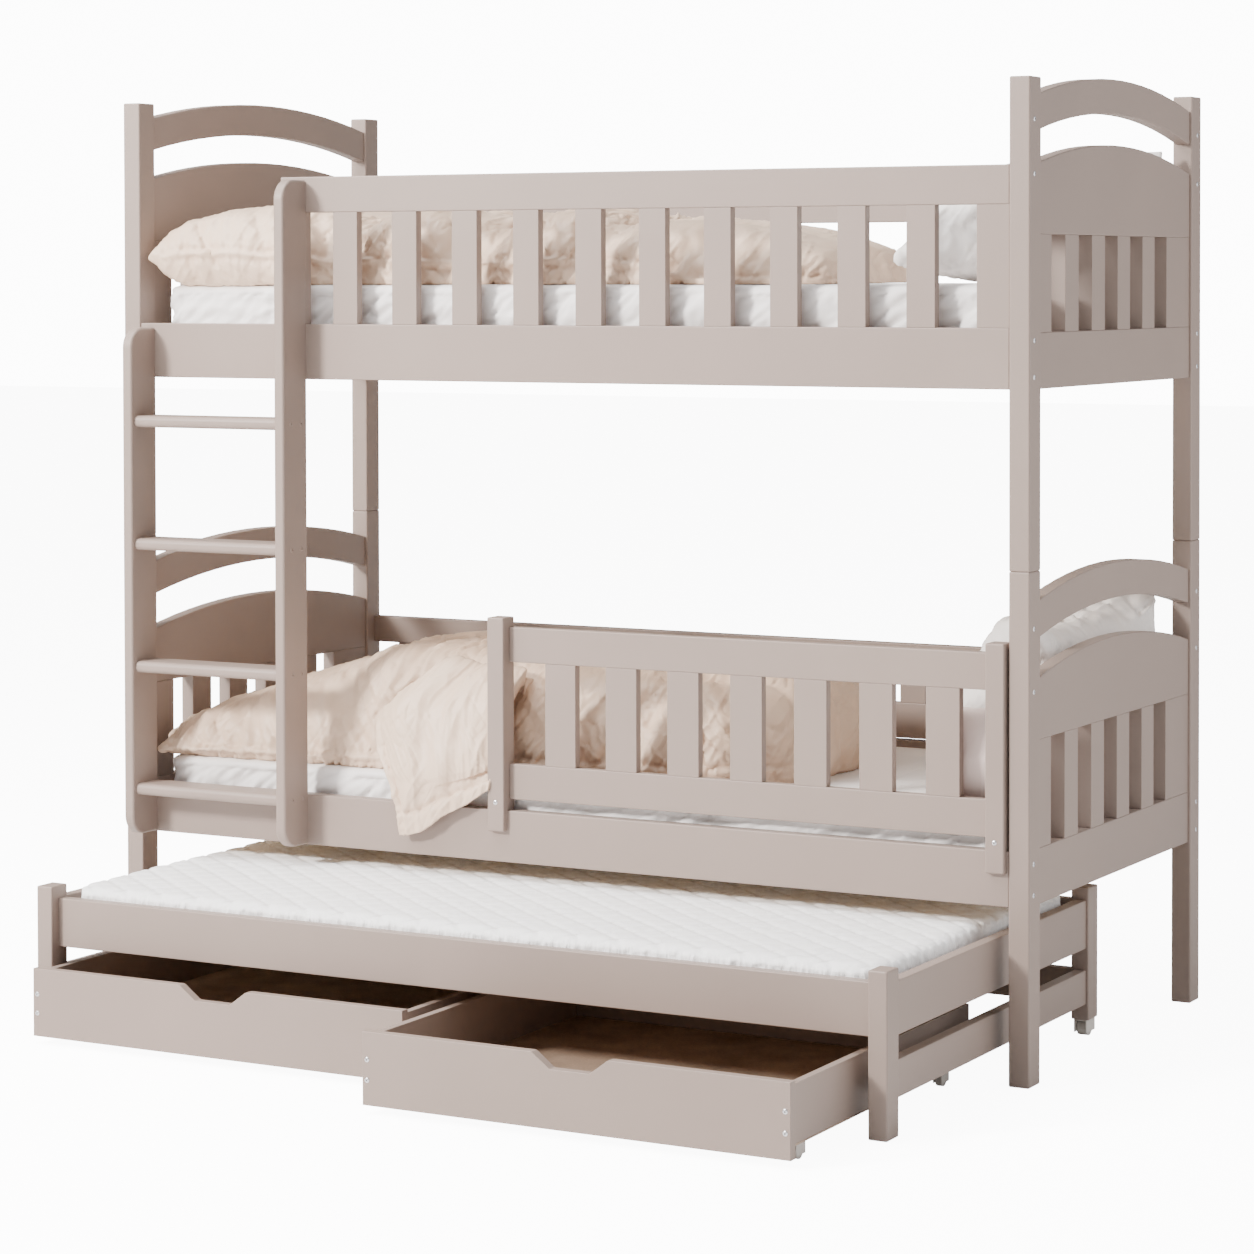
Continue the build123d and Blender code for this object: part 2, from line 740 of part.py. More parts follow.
def pillows():
    """A pillow against the right end of each bunk, and a small one beside the lower."""
    x_end = half_length - end_board_inset - end_board_thickness - soft_gap
    y0 = rail_back + upper_pillow_front_gap
    y1 = bed_width - rail_back - upper_pillow_back_gap
    upper = pillow(
        y1 - y0, upper_pillow_width, upper_pillow_thickness,
        upper_pillow_front_lean, upper_pillow_back_lean,
    )
    upper = seated(upper, x_end, (y0 + y1) / 2, upper_mattress_top + soft_gap)
    small_back = rail_back + small_pillow_front_gap + small_pillow_thickness
    y0 = small_back + lower_pillow_front_gap
    y1 = bed_width - rail_set_in - back_guard_thickness - lower_pillow_back_gap
    lower = pillow(
        y1 - y0, lower_pillow_width, lower_pillow_thickness,
        lower_pillow_lean, lower_pillow_lean,
    )
    lower = seated(lower, x_end, (y0 + y1) / 2, lower_mattress_top + soft_gap)
    small = pillow(small_pillow_length, small_pillow_width, small_pillow_thickness)
    small = small.moved(Location((0, 0, 0), (90, 0, 0)))
    middle = small_back - small_pillow_thickness / 2
    x_end = inner_half - mattress_end_gap
    low = lower_mattress_top - crown_fall(middle) + soft_gap
    return upper, lower, seated(small, x_end, middle, low)


trundle_left = -half_length + post_x + trundle_left_gap
trundle_right = inner_half - trundle_right_gap
trundle_front = -trundle_out
trundle_back = trundle_front + trundle_depth
leg_bottom = 2 * roller_radius + roller_leg_gap + bracket_wall
trundle_rail_y0 = trundle_front + trundle_rail_set_back
trundle_rail_y1 = trundle_rail_y0 + trundle_rail_thickness
trundle_inside = trundle_right - trundle_left - 2 * trundle_leg_x
drawer_width = (trundle_inside - drawer_left_room - drawer_right_room - drawer_gap) / 2


def trundle_frame():
    """Legs and rails of the low bed."""
    legs = []
    for x0 in (trundle_left, trundle_right - trundle_leg_x):
        x1 = x0 + trundle_leg_x
        y1 = trundle_front + trundle_leg_y
        legs.append(block(x0, x1, trundle_front, y1, 0.0, trundle_height, post_round))
        y0 = trundle_back - trundle_leg_y
        legs.append(block(x0, x1, y0, trundle_back, leg_bottom, trundle_height, post_round))
    left, right = trundle_left + trundle_leg_x, trundle_right - trundle_leg_x
    z0, z1 = trundle_rail_bottom, trundle_rail_bottom + trundle_rail_height
    low0, low1 = trundle_low_rail_bottom, trundle_low_rail_bottom + trundle_low_rail_height
    front = block(left, right, trundle_rail_y0, trundle_rail_y1, z0, z1, board_round)
    back_y1 = trundle_back - trundle_rail_set_back
    back_y0 = back_y1 - trundle_rail_thickness
    backs = [
        block(left, right, back_y0, back_y1, z0, z1, board_round),
        block(left, right, back_y0, back_y1, low0, low1, board_round),
    ]
    sides = []
    y0, y1 = trundle_front + trundle_leg_y, trundle_back - trundle_leg_y
    for x0 in (
        trundle_left + trundle_side_set_in,
        trundle_right - trundle_side_set_in - trundle_rail_thickness,
    ):
        x1 = x0 + trundle_rail_thickness
        sides.append(block(x0, x1, y0, y1, z0, z1, board_round))
        sides.append(block(x0, x1, y0, y1, low0, low1, board_round))
    return legs, front, backs, sides


def wheel(x, y, radius, width):
    """A wheel that stands on the floor, with a bore for its pin."""
    tyre = rod((x - width / 2, y, radius), (1, 0, 0), width, radius)
    tyre = tyre.fillet(small_round, tyre.edges().filter_by(GeomType.CIRCLE))
    bore = rod((x - width / 2, y, radius), (1, 0, 0), width, wheel_pin_radius + wheel_running_gap)
    return tyre.cut(bore).solids()[0]


def bracket(x, y, radius, width, length, top):
    """The bracket over a wheel, with the pin that the wheel runs on."""
    half = width / 2 + bracket_side_gap + bracket_wall
    low = radius * bracket_foot_share
    shell = block(x - half, x + half, y - length / 2, y + length / 2, low, top, small_round)
    room = width / 2 + bracket_side_gap
    slot = block(x - room, x + room, y - length, y + length, 0.0, top - bracket_wall)
    bore = rod((x - half, y, radius), (1, 0, 0), 2 * half, wheel_pin_radius + hole_clearance / 2)
    pin = rod((x - half, y, radius), (1, 0, 0), 2 * half, wheel_pin_radius)
    return shell.cut(slot, bore).solids()[0], pin


def drawer(left, out):
    """One drawer, pulled out by a distance from the front of the low bed."""
    front_y = trundle_front - out
    right = left + drawer_width
    top = drawer_front_bottom + drawer_front_height
    middle = (left + right) / 2
    outline = Polyline(
        (left, drawer_front_bottom),
        (right, drawer_front_bottom),
        (right, top),
        (middle + notch_top_width / 2, top),
        (middle + notch_bottom_width / 2, top - notch_depth),
        (middle - notch_bottom_width / 2, top - notch_depth),
        (middle - notch_top_width / 2, top),
        (left, top),
        close=True,
    )
    face = make_face(outline)
    notch = [v for v in face.vertices() if abs(v.X - middle) < notch_top_width]
    face = fillet(notch, notch_round).face()
    front = Solid.extrude(face, Vector(0, 0, -drawer_front_thickness))
    front = front.moved(Location((0, front_y, 0), (90, 0, 0)))
    rims = [edge for edge in front.edges() if edge.bounding_box().size.Y < small_round]
    front = front.fillet(small_round, rims)
    y0 = front_y + drawer_front_thickness
    y1 = front_y + drawer_depth
    x0, x1 = left + drawer_side_inset, right - drawer_side_inset
    z0, z1 = drawer_floor_height + drawer_floor_thickness, top - drawer_side_drop
    sides = [
        block(x0, x0 + drawer_side_thickness, y0, y1, z0, z1, small_round),
        block(x1 - drawer_side_thickness, x1, y0, y1, z0, z1, small_round),
        block(
            x0 + drawer_side_thickness, x1 - drawer_side_thickness,
            y1 - drawer_side_thickness, y1, z0, z1, small_round,
        ),
    ]
    floor = block(x0, x1, y0, y1, drawer_floor_height, z0)
    wheels = {"front": [], "back": []}
    brackets = []
    for place, y in (("front", front_y + castor_from_front), ("back", y1 - castor_from_front)):
        for x in (x0 + castor_from_side, x1 - castor_from_side):
            wheels[place].append(wheel(x, y, castor_radius, castor_width))
            brackets += bracket(x, y, castor_radius, castor_width, castor_bracket_length, drawer_floor_height)
    return front, sides, floor, wheels, brackets


def drawer_screws(node, left, out):
    """The screws through a drawer's front into its sides."""
    front_y = trundle_front - out
    top = drawer_front_bottom + drawer_front_height - drawer_screw_from_top
    right = left + drawer_width
    length = drawer_front_thickness + drawer_screw_in_side
    inset = drawer_side_inset + drawer_side_thickness / 2
    for x in (left + inset, right - inset):
        for z in (top, top - drawer_screw_spacing):
            add_screw(node, (x, front_y, z), (0, 1, 0), length, drawer_screw_radius, drawer_screw_head_radius)


def main():
    os.makedirs("parts", exist_ok=True)
    nodes = {}
    nodes["lower_posts"], nodes["upper_posts"] = posts()
    post_screws()
    names = ("arch_rails", "head_panels", "end_slats", "end_boards")
    ends = {f"{bunk}_{name}": [] for bunk in ("upper", "lower") for name in names[:2]}
    ends.update({name: [] for name in names[2:]})
    bunks = (
        ("upper", upper_rail_bottom, upper_panel_bottom, upper_panel_end_height,
         upper_arch_end_height, upper_arch_rail_depth),
        ("lower", lower_rail_bottom, lower_panel_bottom, lower_panel_end_height,
         lower_arch_end_height, lower_arch_rail_depth),
    )
    outer = half_length - end_board_inset
    for bunk, *heights in bunks:
        for x0 in (-outer, outer - end_board_thickness):
            arch, panel, slats, board = end_boards(x0, x0 + end_board_thickness, *heights)
            ends[f"{bunk}_arch_rails"].append(arch)
            ends[f"{bunk}_head_panels"].append(panel)
            ends["end_slats"] += slats
            ends["end_boards"].append(board)
    nodes.update(ends)
    nodes["upper_front_board"] = [rail(upper_rail_bottom, upper_rail_height)]
    nodes["upper_back_board"] = [rail(upper_rail_bottom, upper_rail_height, back=True)]
    nodes["lower_front_rail"] = [rail(lower_rail_bottom, lower_rail_height)]
    nodes["lower_back_rail"] = [rail(lower_rail_bottom, lower_back_rail_height, back=True)]
    guard_rail, nodes["upper_guard_slats"] = upper_guard()
    nodes["upper_guard_rail"] = [guard_rail]
    nodes["back_guard_rails"], nodes["back_guard_slats"] = back_guards()
    top = upper_rail_top - ladder_left_drop
    nodes["ladder_left_stile"] = [ladder_stile_piece(ladder_left, top)]
    top = guard_rail_top - ladder_right_drop
    nodes["ladder_right_stile"] = [ladder_stile_piece(ladder_rung_right, top)]
    nodes["ladder_rungs"] = ladder_rungs()
    nodes["low_guard_uprights"], nodes["low_guard_rails"], nodes["low_guard_slats"] = low_guard()

    y0, y1 = rail_back, bed_width - rail_back
    upper_battens, nodes["upper_bed_slats"] = slat_base(
        -inner_half, inner_half, y0, y1, upper_slat_top, bed_slat_pitch)
    lower_battens, nodes["lower_bed_slats"] = slat_base(
        -inner_half, inner_half, y0, y1, lower_slat_top, bed_slat_pitch)
    nodes["bed_battens"] = upper_battens + lower_battens
    for name, solid in bedding().items():
        nodes[name] = [solid]
    for name, solid in zip(("upper_pillow", "lower_pillow", "small_pillow"), pillows()):
        nodes[name] = [solid]

    legs, front, backs, sides = trundle_frame()
    nodes["trundle_legs"] = legs
    nodes["trundle_front_rail"] = [front]
    nodes["trundle_back_rails"] = backs
    nodes["trundle_side_rails"] = sides
    x0, x1 = trundle_left + trundle_leg_x, trundle_right - trundle_leg_x
    y0, y1 = trundle_rail_y1, trundle_back - trundle_rail_set_back - trundle_rail_thickness
    top = trundle_rail_bottom + batten_height + bed_slat_thickness
    nodes["trundle_battens"], nodes["trundle_slats"] = slat_base(x0, x1, y0, y1, top, trundle_slat_pitch)
    gap = trundle_mattress_gap
    nodes["trundle_mattress"] = [
        mattress(x0 + gap, x1 - gap, y0 + gap, y1 - gap, top, trundle_mattress_thickness)
    ]
    nodes["trundle_roller_brackets"] = []
    y = trundle_back - trundle_leg_y / 2
    rollers = (("left", trundle_left + trundle_leg_x / 2), ("right", trundle_right - trundle_leg_x / 2))
    for side, x in rollers:
        nodes[f"trundle_{side}_roller"] = [wheel(x, y, roller_radius, roller_width)]
        nodes["trundle_roller_brackets"] += bracket(
            x, y, roller_radius, roller_width, roller_bracket_length, leg_bottom)

    first = trundle_left + trundle_leg_x + drawer_left_room
    second = first + drawer_width + drawer_gap
    places = (("left", first, drawer_left_out), ("right", second, drawer_right_out))
    for side, left, out in places:
        drawer_screws(f"drawer_{side}_screws", left, out)
        face, sides, floor, wheels, brackets = drawer(left, out)
        nodes[f"drawer_{side}_front"] = [face]
        nodes[f"drawer_{side}_sides"] = sides
        nodes[f"drawer_{side}_floor"] = [floor]
        nodes[f"drawer_{side}_castor_brackets"] = brackets
        nodes[f"drawer_{side}_front_wheels"] = wheels["front"]
        nodes[f"drawer_{side}_back_wheels"] = wheels["back"]

    soft = ("mattress", "quilt", "pillow", "bracket", "wheels", "roller")
    for name, solids in nodes.items():
        if not any(word in name for word in soft):
            solids = [drilled(solid) for solid in solids]
        export(name, solids)
    for name, solids in fasteners.items():
        export(name, solids)
    print(len(nodes) + len(fasteners), "nodes")


if __name__ == "__main__":
    main()
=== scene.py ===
"""Finishes for a triple bunk bed: painted timber, screws, castors and all its bedding."""

import json
import math
from contextlib import contextmanager

import bmesh
import bpy
import numpy as np
from bpy.props import FloatProperty, FloatVectorProperty, IntProperty, PointerProperty
from mathutils import Matrix, Vector


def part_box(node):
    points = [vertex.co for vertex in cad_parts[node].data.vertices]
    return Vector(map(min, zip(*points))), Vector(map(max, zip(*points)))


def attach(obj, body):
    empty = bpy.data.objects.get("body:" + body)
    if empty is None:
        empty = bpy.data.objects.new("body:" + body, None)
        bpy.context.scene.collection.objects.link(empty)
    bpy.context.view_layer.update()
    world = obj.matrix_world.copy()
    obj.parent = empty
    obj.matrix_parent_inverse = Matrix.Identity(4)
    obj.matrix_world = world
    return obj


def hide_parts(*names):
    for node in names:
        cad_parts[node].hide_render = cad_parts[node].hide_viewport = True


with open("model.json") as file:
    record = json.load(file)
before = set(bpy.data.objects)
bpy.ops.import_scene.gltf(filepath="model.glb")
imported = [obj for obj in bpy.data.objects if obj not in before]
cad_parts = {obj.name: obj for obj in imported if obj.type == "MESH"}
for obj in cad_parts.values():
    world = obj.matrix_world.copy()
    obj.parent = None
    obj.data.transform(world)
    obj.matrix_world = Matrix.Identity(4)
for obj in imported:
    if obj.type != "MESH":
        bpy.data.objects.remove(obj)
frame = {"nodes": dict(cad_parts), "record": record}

bl_info = {
    "name": "Triple Bunk Bed",
    "version": (1, 0, 0),
    "blender": (4, 5, 0),
    "location": "View3D > Sidebar > Bunk Bed",
    "description": "Finishes the timber, hardware and bedding of a triple bunk bed",
    "category": "Object",
}

MM = 0.001
RECORD = frame["record"]
BODIES = RECORD["behaviour"]["bodies"]

# Where the bed's front and its left posts' outer faces lie in the frame
FRONT_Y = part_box("lower_posts")[0][1]
POST_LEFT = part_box("lower_posts")[0][0]
# The sheet's top is a little below the mattress's box at its edges, and crowned between them
SHEET_GAP, SHEET_CROWN = 2.4 * MM, 2.0 * MM
# How far a quilt's underside stays off the sheet
QUILT_GAP = 0.3 * MM
# Round corners and round edges of every mattress, and where the front edge ends behind the bed's front
MATTRESS_CORNER, MATTRESS_EDGE, EDGE_END = 45 * MM, 18 * MM, 48 * MM


def linear(hex_colour):
    """An sRGB hex colour as linear red, green, blue and alpha."""
    parts = [int(hex_colour[place:place + 2], 16) / 255 for place in (1, 3, 5)]
    return tuple(p / 12.92 if p <= 0.04045 else ((p + 0.055) / 1.055) ** 2.4 for p in parts) + (1.0,)


def bed_place(x, y, z):
    """A point in metres from millimetres off the left post's outer face, the bed's front and the floor."""
    return Vector((POST_LEFT + x * MM, FRONT_Y + y * MM, z * MM))


# Properties


class TimberSizes(bpy.types.PropertyGroup):
    brush_mark: FloatProperty(
        name="Brush mark", description="Width of a brush mark in the paint", default=1.4 * MM, unit="LENGTH")
    grain_width: FloatProperty(
        name="Grain width", description="Width of a year ring in bare pine", default=5.0 * MM, unit="LENGTH")
    # The edge radius sets the width of the painted highlight along each rounded edge
    edge_radius: FloatProperty(
        name="Edge radius", description="How far the paint thins at an edge",
        default=2.0 * MM, unit="LENGTH")
    paint: FloatVectorProperty(
        name="Paint", description="Colour of the painted timber", subtype="COLOR",
        size=4, min=0.0, max=1.0, default=linear("#918077"))


class HardwareSizes(bpy.types.PropertyGroup):
    head_sides: IntProperty(
        name="Head sides", description="Flat facets round a screw head", default=28, min=8)
    socket_share: FloatProperty(
        name="Socket", description="Width of the driving recess against the head",
        default=0.42, subtype="FACTOR")


class BeddingSizes(bpy.types.PropertyGroup):
    quilt_voxel: FloatProperty(
        name="Quilt mesh", description="Mesh size of a quilt before its last subdivision",
        default=7.5 * MM, unit="LENGTH")
    pillow_voxel: FloatProperty(
        name="Pillow mesh", description="Mesh size of a pillow before its last subdivision",
        default=8.0 * MM, unit="LENGTH")
    pressure: FloatProperty(
        name="Fill pressure", description="How hard the filling pushes on the cover", default=4.0)
    sheen: FloatProperty(
        name="Sheen", description="How much the cotton's loose fibres catch the light", default=0.06,
        subtype="FACTOR")
    diamond: FloatProperty(
        name="Diamond", description="Width of a quilted diamond on the low mattress",
        default=78.0 * MM, unit="LENGTH")
    diamond_rise: FloatProperty(
        name="Diamond rise", description="How far a quilted diamond stands up",
        default=4.2 * MM, unit="LENGTH")
    diamond_slope: FloatProperty(
        name="Diamond slope",
        description="Length of a diamond's slanted side along the bed, for each unit across it",
        default=1.25)
    quilt: FloatVectorProperty(
        name="Quilt", description="Colour of the quilts", subtype="COLOR",
        size=4, min=0.0, max=1.0, default=linear("#E1C7B1"))


class StageSizes(bpy.types.PropertyGroup):
    lens: FloatProperty(name="Lens", description="Focal length on a 36 mm frame", default=101.25, min=1.0)
    yaw: FloatProperty(
        name="Yaw", description="Turn of the camera to the left", default=math.radians(28.6), subtype="ANGLE")
    air_light: FloatProperty(name="Air light", description="Even light from all round", default=0.45, min=0.0)
    backdrop_light: FloatProperty(
        name="Backdrop light", description="Brightness of the studio behind the bed", default=12.5, min=0.0)
    floor_glow: FloatProperty(
        name="Floor glow", description="How much brighter the floor looks than its light makes it",
        default=10.0, min=0.0)


# Materials


def add_node(tree, kind, settings=None, values=None, links=None):
    """One node with its settings, its input values and the sockets that feed it."""
    node = tree.nodes.new(kind)
    for name, value in (settings or {}).items():
        setattr(node, name, value)
    for name, value in (values or {}).items():
        node.inputs[name].default_value = value
    for name, source in (links or {}).items():
        tree.links.new(source, node.inputs[name])
    return node


def new_material(name):
    """An empty material with its shader, and its tree."""
    material = bpy.data.materials.new(name)
    material.use_nodes = True
    tree = material.node_tree
    tree.nodes.clear()
    shader = add_node(tree, "ShaderNodeBsdfPrincipled")
    add_node(tree, "ShaderNodeOutputMaterial", links={"Surface": shader.outputs["BSDF"]})
    return material, tree, shader


def set_ramp(ramp, *stops):
    """Sets the places and the colours of a ramp's two ends."""
    for end, (place, colour) in zip(ramp.color_ramp.elements, stops):
        end.position = place
        end.color = linear(colour)


def painted_pine(axis):
    """Satin water-based paint brushed on planed pine: soft gloss, faint brush marks along the board, and a
    painted highlight along the rounded edges.
    """
    sizes = bpy.context.scene.bunk_timber
    material, tree, shader = new_material(f"satin paint on pine along {axis}")
    place = add_node(tree, "ShaderNodeTexCoord").outputs["Object"]
    across = 1 / sizes.brush_mark
    along = across / 60
    scale = [along if name == axis else across for name in "XYZ"]
    stroke_place = add_node(tree, "ShaderNodeMapping", values={"Scale": scale}, links={"Vector": place})
    strokes = add_node(
        tree, "ShaderNodeTexNoise", values={"Scale": 1.0, "Detail": 3.0, "Roughness": 0.55},
        links={"Vector": stroke_place.outputs["Vector"]})
    grain_across = 1 / (sizes.grain_width * 3)
    grain_scale = [grain_across / 14 if name == axis else grain_across for name in "XYZ"]
    grain_place = add_node(tree, "ShaderNodeMapping", values={"Scale": grain_scale}, links={"Vector": place})
    grain = add_node(
        tree, "ShaderNodeTexNoise", values={"Scale": 1.0, "Detail": 4.0, "Distortion": 0.7},
        links={"Vector": grain_place.outputs["Vector"]})
    clouds = add_node(
        tree, "ShaderNodeTexNoise", values={"Scale": 1 / (200 * MM), "Detail": 2.0}, links={"Vector": place})
    paint = sizes.paint
    # The third colour, bare, is the paint made lighter: a painted highlight along the rounded edges
    deep, light, bare = (
        [min(1.0, channel * share) for channel in paint[:3]] + [1.0] for share in (0.93, 1.045, 1.16))
    tone = add_node(
        tree, "ShaderNodeMix", {"data_type": "RGBA"}, {"A": deep, "B": light},
        {"Factor": clouds.outputs["Fac"]})
    # Painted highlight: the paint turns lighter where the bevelled normal leaves the face's own, on the
    # rounded edges
    edge = add_node(tree, "ShaderNodeBevel", {"samples": 4}, {"Radius": sizes.edge_radius})
    facing = add_node(tree, "ShaderNodeNewGeometry")
    away = add_node(
        tree, "ShaderNodeVectorMath", {"operation": "DISTANCE"},
        links={0: edge.outputs["Normal"], 1: facing.outputs["Normal"]})
    edge_highlight = add_node(
        tree, "ShaderNodeMapRange", values={"From Min": 0.05, "From Max": 0.7, "To Max": 0.35},
        links={"Value": away.outputs["Value"]})
    highlighted_paint = add_node(
        tree, "ShaderNodeMix", {"data_type": "RGBA"}, {"B": bare},
        {"Factor": edge_highlight.outputs["Result"], "A": tone.outputs["Result"]})
    tree.links.new(highlighted_paint.outputs["Result"], shader.inputs["Base Color"])
    gloss = add_node(
        tree, "ShaderNodeMapRange", values={"To Min": 0.40, "To Max": 0.54},
        links={"Value": clouds.outputs["Fac"]})
    tree.links.new(gloss.outputs["Result"], shader.inputs["Roughness"])
    shader.inputs["IOR"].default_value = 1.5
    low = add_node(
        tree, "ShaderNodeBump", values={"Strength": 0.35, "Distance": 0.35 * MM},
        links={"Height": grain.outputs["Fac"]})
    high = add_node(
        tree, "ShaderNodeBump", values={"Strength": 0.25, "Distance": 0.10 * MM},
        links={"Height": strokes.outputs["Fac"], "Normal": low.outputs["Normal"]})
    tree.links.new(high.outputs["Normal"], shader.inputs["Normal"])
    return material


def bare_pine(axis, name="planed pine", pale="#E3C9A0", dark="#C79F6B"):
    """Planed timber with year rings: matt, warm, with grain lines along each piece."""
    sizes = bpy.context.scene.bunk_timber
    material, tree, shader = new_material(f"{name} along {axis}")
    place = add_node(tree, "ShaderNodeTexCoord").outputs["Object"]
    across = 1 / sizes.grain_width
    scale = [across / 22 if letter == axis else across for letter in "XYZ"]
    grain_place = add_node(tree, "ShaderNodeMapping", values={"Scale": scale}, links={"Vector": place})
    grain = add_node(
        tree, "ShaderNodeTexNoise", values={"Scale": 1.0, "Detail": 5.0, "Distortion": 1.2},
        links={"Vector": grain_place.outputs["Vector"]})
    ramp = add_node(tree, "ShaderNodeValToRGB", links={"Fac": grain.outputs["Fac"]})
    set_ramp(ramp, (0.36, dark), (0.58, pale))
    tree.links.new(ramp.outputs["Color"], shader.inputs["Base Color"])
    shader.inputs["Roughness"].default_value = 0.62
    bump = add_node(
        tree, "ShaderNodeBump", values={"Strength": 0.4, "Distance": 0.3 * MM},
        links={"Height": grain.outputs["Fac"]})
    tree.links.new(bump.outputs["Normal"], shader.inputs["Normal"])
    return material


def hardboard():
    """Pressed hardboard: brown fibres, matt and slightly mottled. The fibres are drawn about twice as
    coarse as the real ones, so that they show."""
    material, tree, shader = new_material("pressed brown hardboard")
    place = add_node(tree, "ShaderNodeTexCoord").outputs["Object"]
    fibre = add_node(
        tree, "ShaderNodeTexNoise", values={"Scale": 1 / (5 * MM), "Detail": 5.0, "Roughness": 0.75},
        links={"Vector": place})
    patch = add_node(
        tree, "ShaderNodeTexNoise", values={"Scale": 1 / (111 * MM), "Detail": 3.0}, links={"Vector": place})
    mixed = add_node(
        tree, "ShaderNodeMath", {"operation": "MULTIPLY_ADD"}, {1: 0.6},
        {0: fibre.outputs["Fac"], 2: patch.outputs["Fac"]})
    ramp = add_node(tree, "ShaderNodeValToRGB", links={"Fac": mixed.outputs["Value"]})
    set_ramp(ramp, (0.52, "#85705F"), (1.0, "#B49C89"))
    tree.links.new(ramp.outputs["Color"], shader.inputs["Base Color"])
    shader.inputs["Roughness"].default_value = 0.6
    bump = add_node(
        tree, "ShaderNodeBump", values={"Strength": 0.5, "Distance": 0.2 * MM},
        links={"Height": fibre.outputs["Fac"]})
    tree.links.new(bump.outputs["Normal"], shader.inputs["Normal"])
    return material


def zinc_plate():
    """Zinc-plated steel: pale blue-white metal with a fine dull bloom."""
    material, tree, shader = new_material("zinc-plated steel")
    place = add_node(tree, "ShaderNodeTexCoord").outputs["Object"]
    bloom = add_node(
        tree, "ShaderNodeTexNoise", values={"Scale": 1 / (1.5 * MM), "Detail": 3.0}, links={"Vector": place})
    rough = add_node(
        tree, "ShaderNodeMapRange", values={"To Min": 0.24, "To Max": 0.42},
        links={"Value": bloom.outputs["Fac"]})
    shader.inputs["Base Color"].default_value = linear("#D9D9DC")
    shader.inputs["Metallic"].default_value = 1.0
    tree.links.new(rough.outputs["Result"], shader.inputs["Roughness"])
    return material


def moulded_plastic(name, colour, roughness):
    """Injection-moulded polypropylene: even colour, fine spark-eroded grain."""
    material, tree, shader = new_material(name)
    place = add_node(tree, "ShaderNodeTexCoord").outputs["Object"]
    grain = add_node(
        tree, "ShaderNodeTexNoise", values={"Scale": 1 / (0.8 * MM), "Detail": 2.0}, links={"Vector": place})
    shader.inputs["Base Color"].default_value = linear(colour)
    shader.inputs["Roughness"].default_value = roughness
    bump = add_node(
        tree, "ShaderNodeBump", values={"Strength": 0.2, "Distance": 0.1 * MM},
        links={"Height": grain.outputs["Fac"]})
    tree.links.new(bump.outputs["Normal"], shader.inputs["Normal"])
    return material


# Width of a drawn thread
THREAD = 1.6 * MM


def woven_cotton(name, colour, deep, crease, roughness):
    """Woven cotton: matt with a soft sheen, uneven threads both ways and fine creases about 71 mm apart.
    The threads are drawn a few times as coarse as the real ones, so that they show."""
    sizes = bpy.context.scene.bunk_bedding
    material, tree, shader = new_material(name)
    place = add_node(tree, "ShaderNodeTexCoord").outputs["Object"]
    across, along, up = 1 / THREAD, 1 / (12 * THREAD), 1 / (3 * THREAD)
    threads = []
    for scale in ((across, along, up), (along, across, up)):
        run = add_node(tree, "ShaderNodeMapping", values={"Scale": scale}, links={"Vector": place})
        threads.append(add_node(
            tree, "ShaderNodeTexNoise", values={"Scale": 1.0, "Detail": 1.0},
            links={"Vector": run.outputs["Vector"]}))
    weave = add_node(
        tree, "ShaderNodeMath", {"operation": "ADD"},
        links={turn: noise.outputs["Fac"] for turn, noise in enumerate(threads)})
    lean = add_node(
        tree, "ShaderNodeMapping", values={"Rotation": (0.0, 0.45, 0.0), "Scale": (1.7, 0.6, 0.6)},
        links={"Vector": place})
    folds = add_node(
        tree, "ShaderNodeTexNoise", {"noise_type": "RIDGED_MULTIFRACTAL"},
        {"Scale": 1 / (71.4 * MM), "Detail": 3.0, "Distortion": 0.8}, {"Vector": lean.outputs["Vector"]})
    tone = add_node(
        tree, "ShaderNodeTexNoise", values={"Scale": 1 / (166.7 * MM), "Detail": 2.0},
        links={"Vector": place})
    mix = add_node(
        tree, "ShaderNodeMix", {"data_type": "RGBA"}, {"A": deep, "B": colour},
        {"Factor": tone.outputs["Fac"]})
    tree.links.new(mix.outputs["Result"], shader.inputs["Base Color"])
    shader.inputs["Roughness"].default_value = roughness
    shader.inputs["Sheen Weight"].default_value = sizes.sheen
    shader.inputs["Sheen Roughness"].default_value = 0.4
    low = add_node(
        tree, "ShaderNodeBump", values={"Strength": 0.7, "Distance": crease},
        links={"Height": folds.outputs["Fac"]})
    high = add_node(
        tree, "ShaderNodeBump", values={"Strength": 0.35, "Distance": 0.25 * MM},
        links={"Height": weave.outputs["Value"], "Normal": low.outputs["Normal"]})
    tree.links.new(high.outputs["Normal"], shader.inputs["Normal"])
    return material


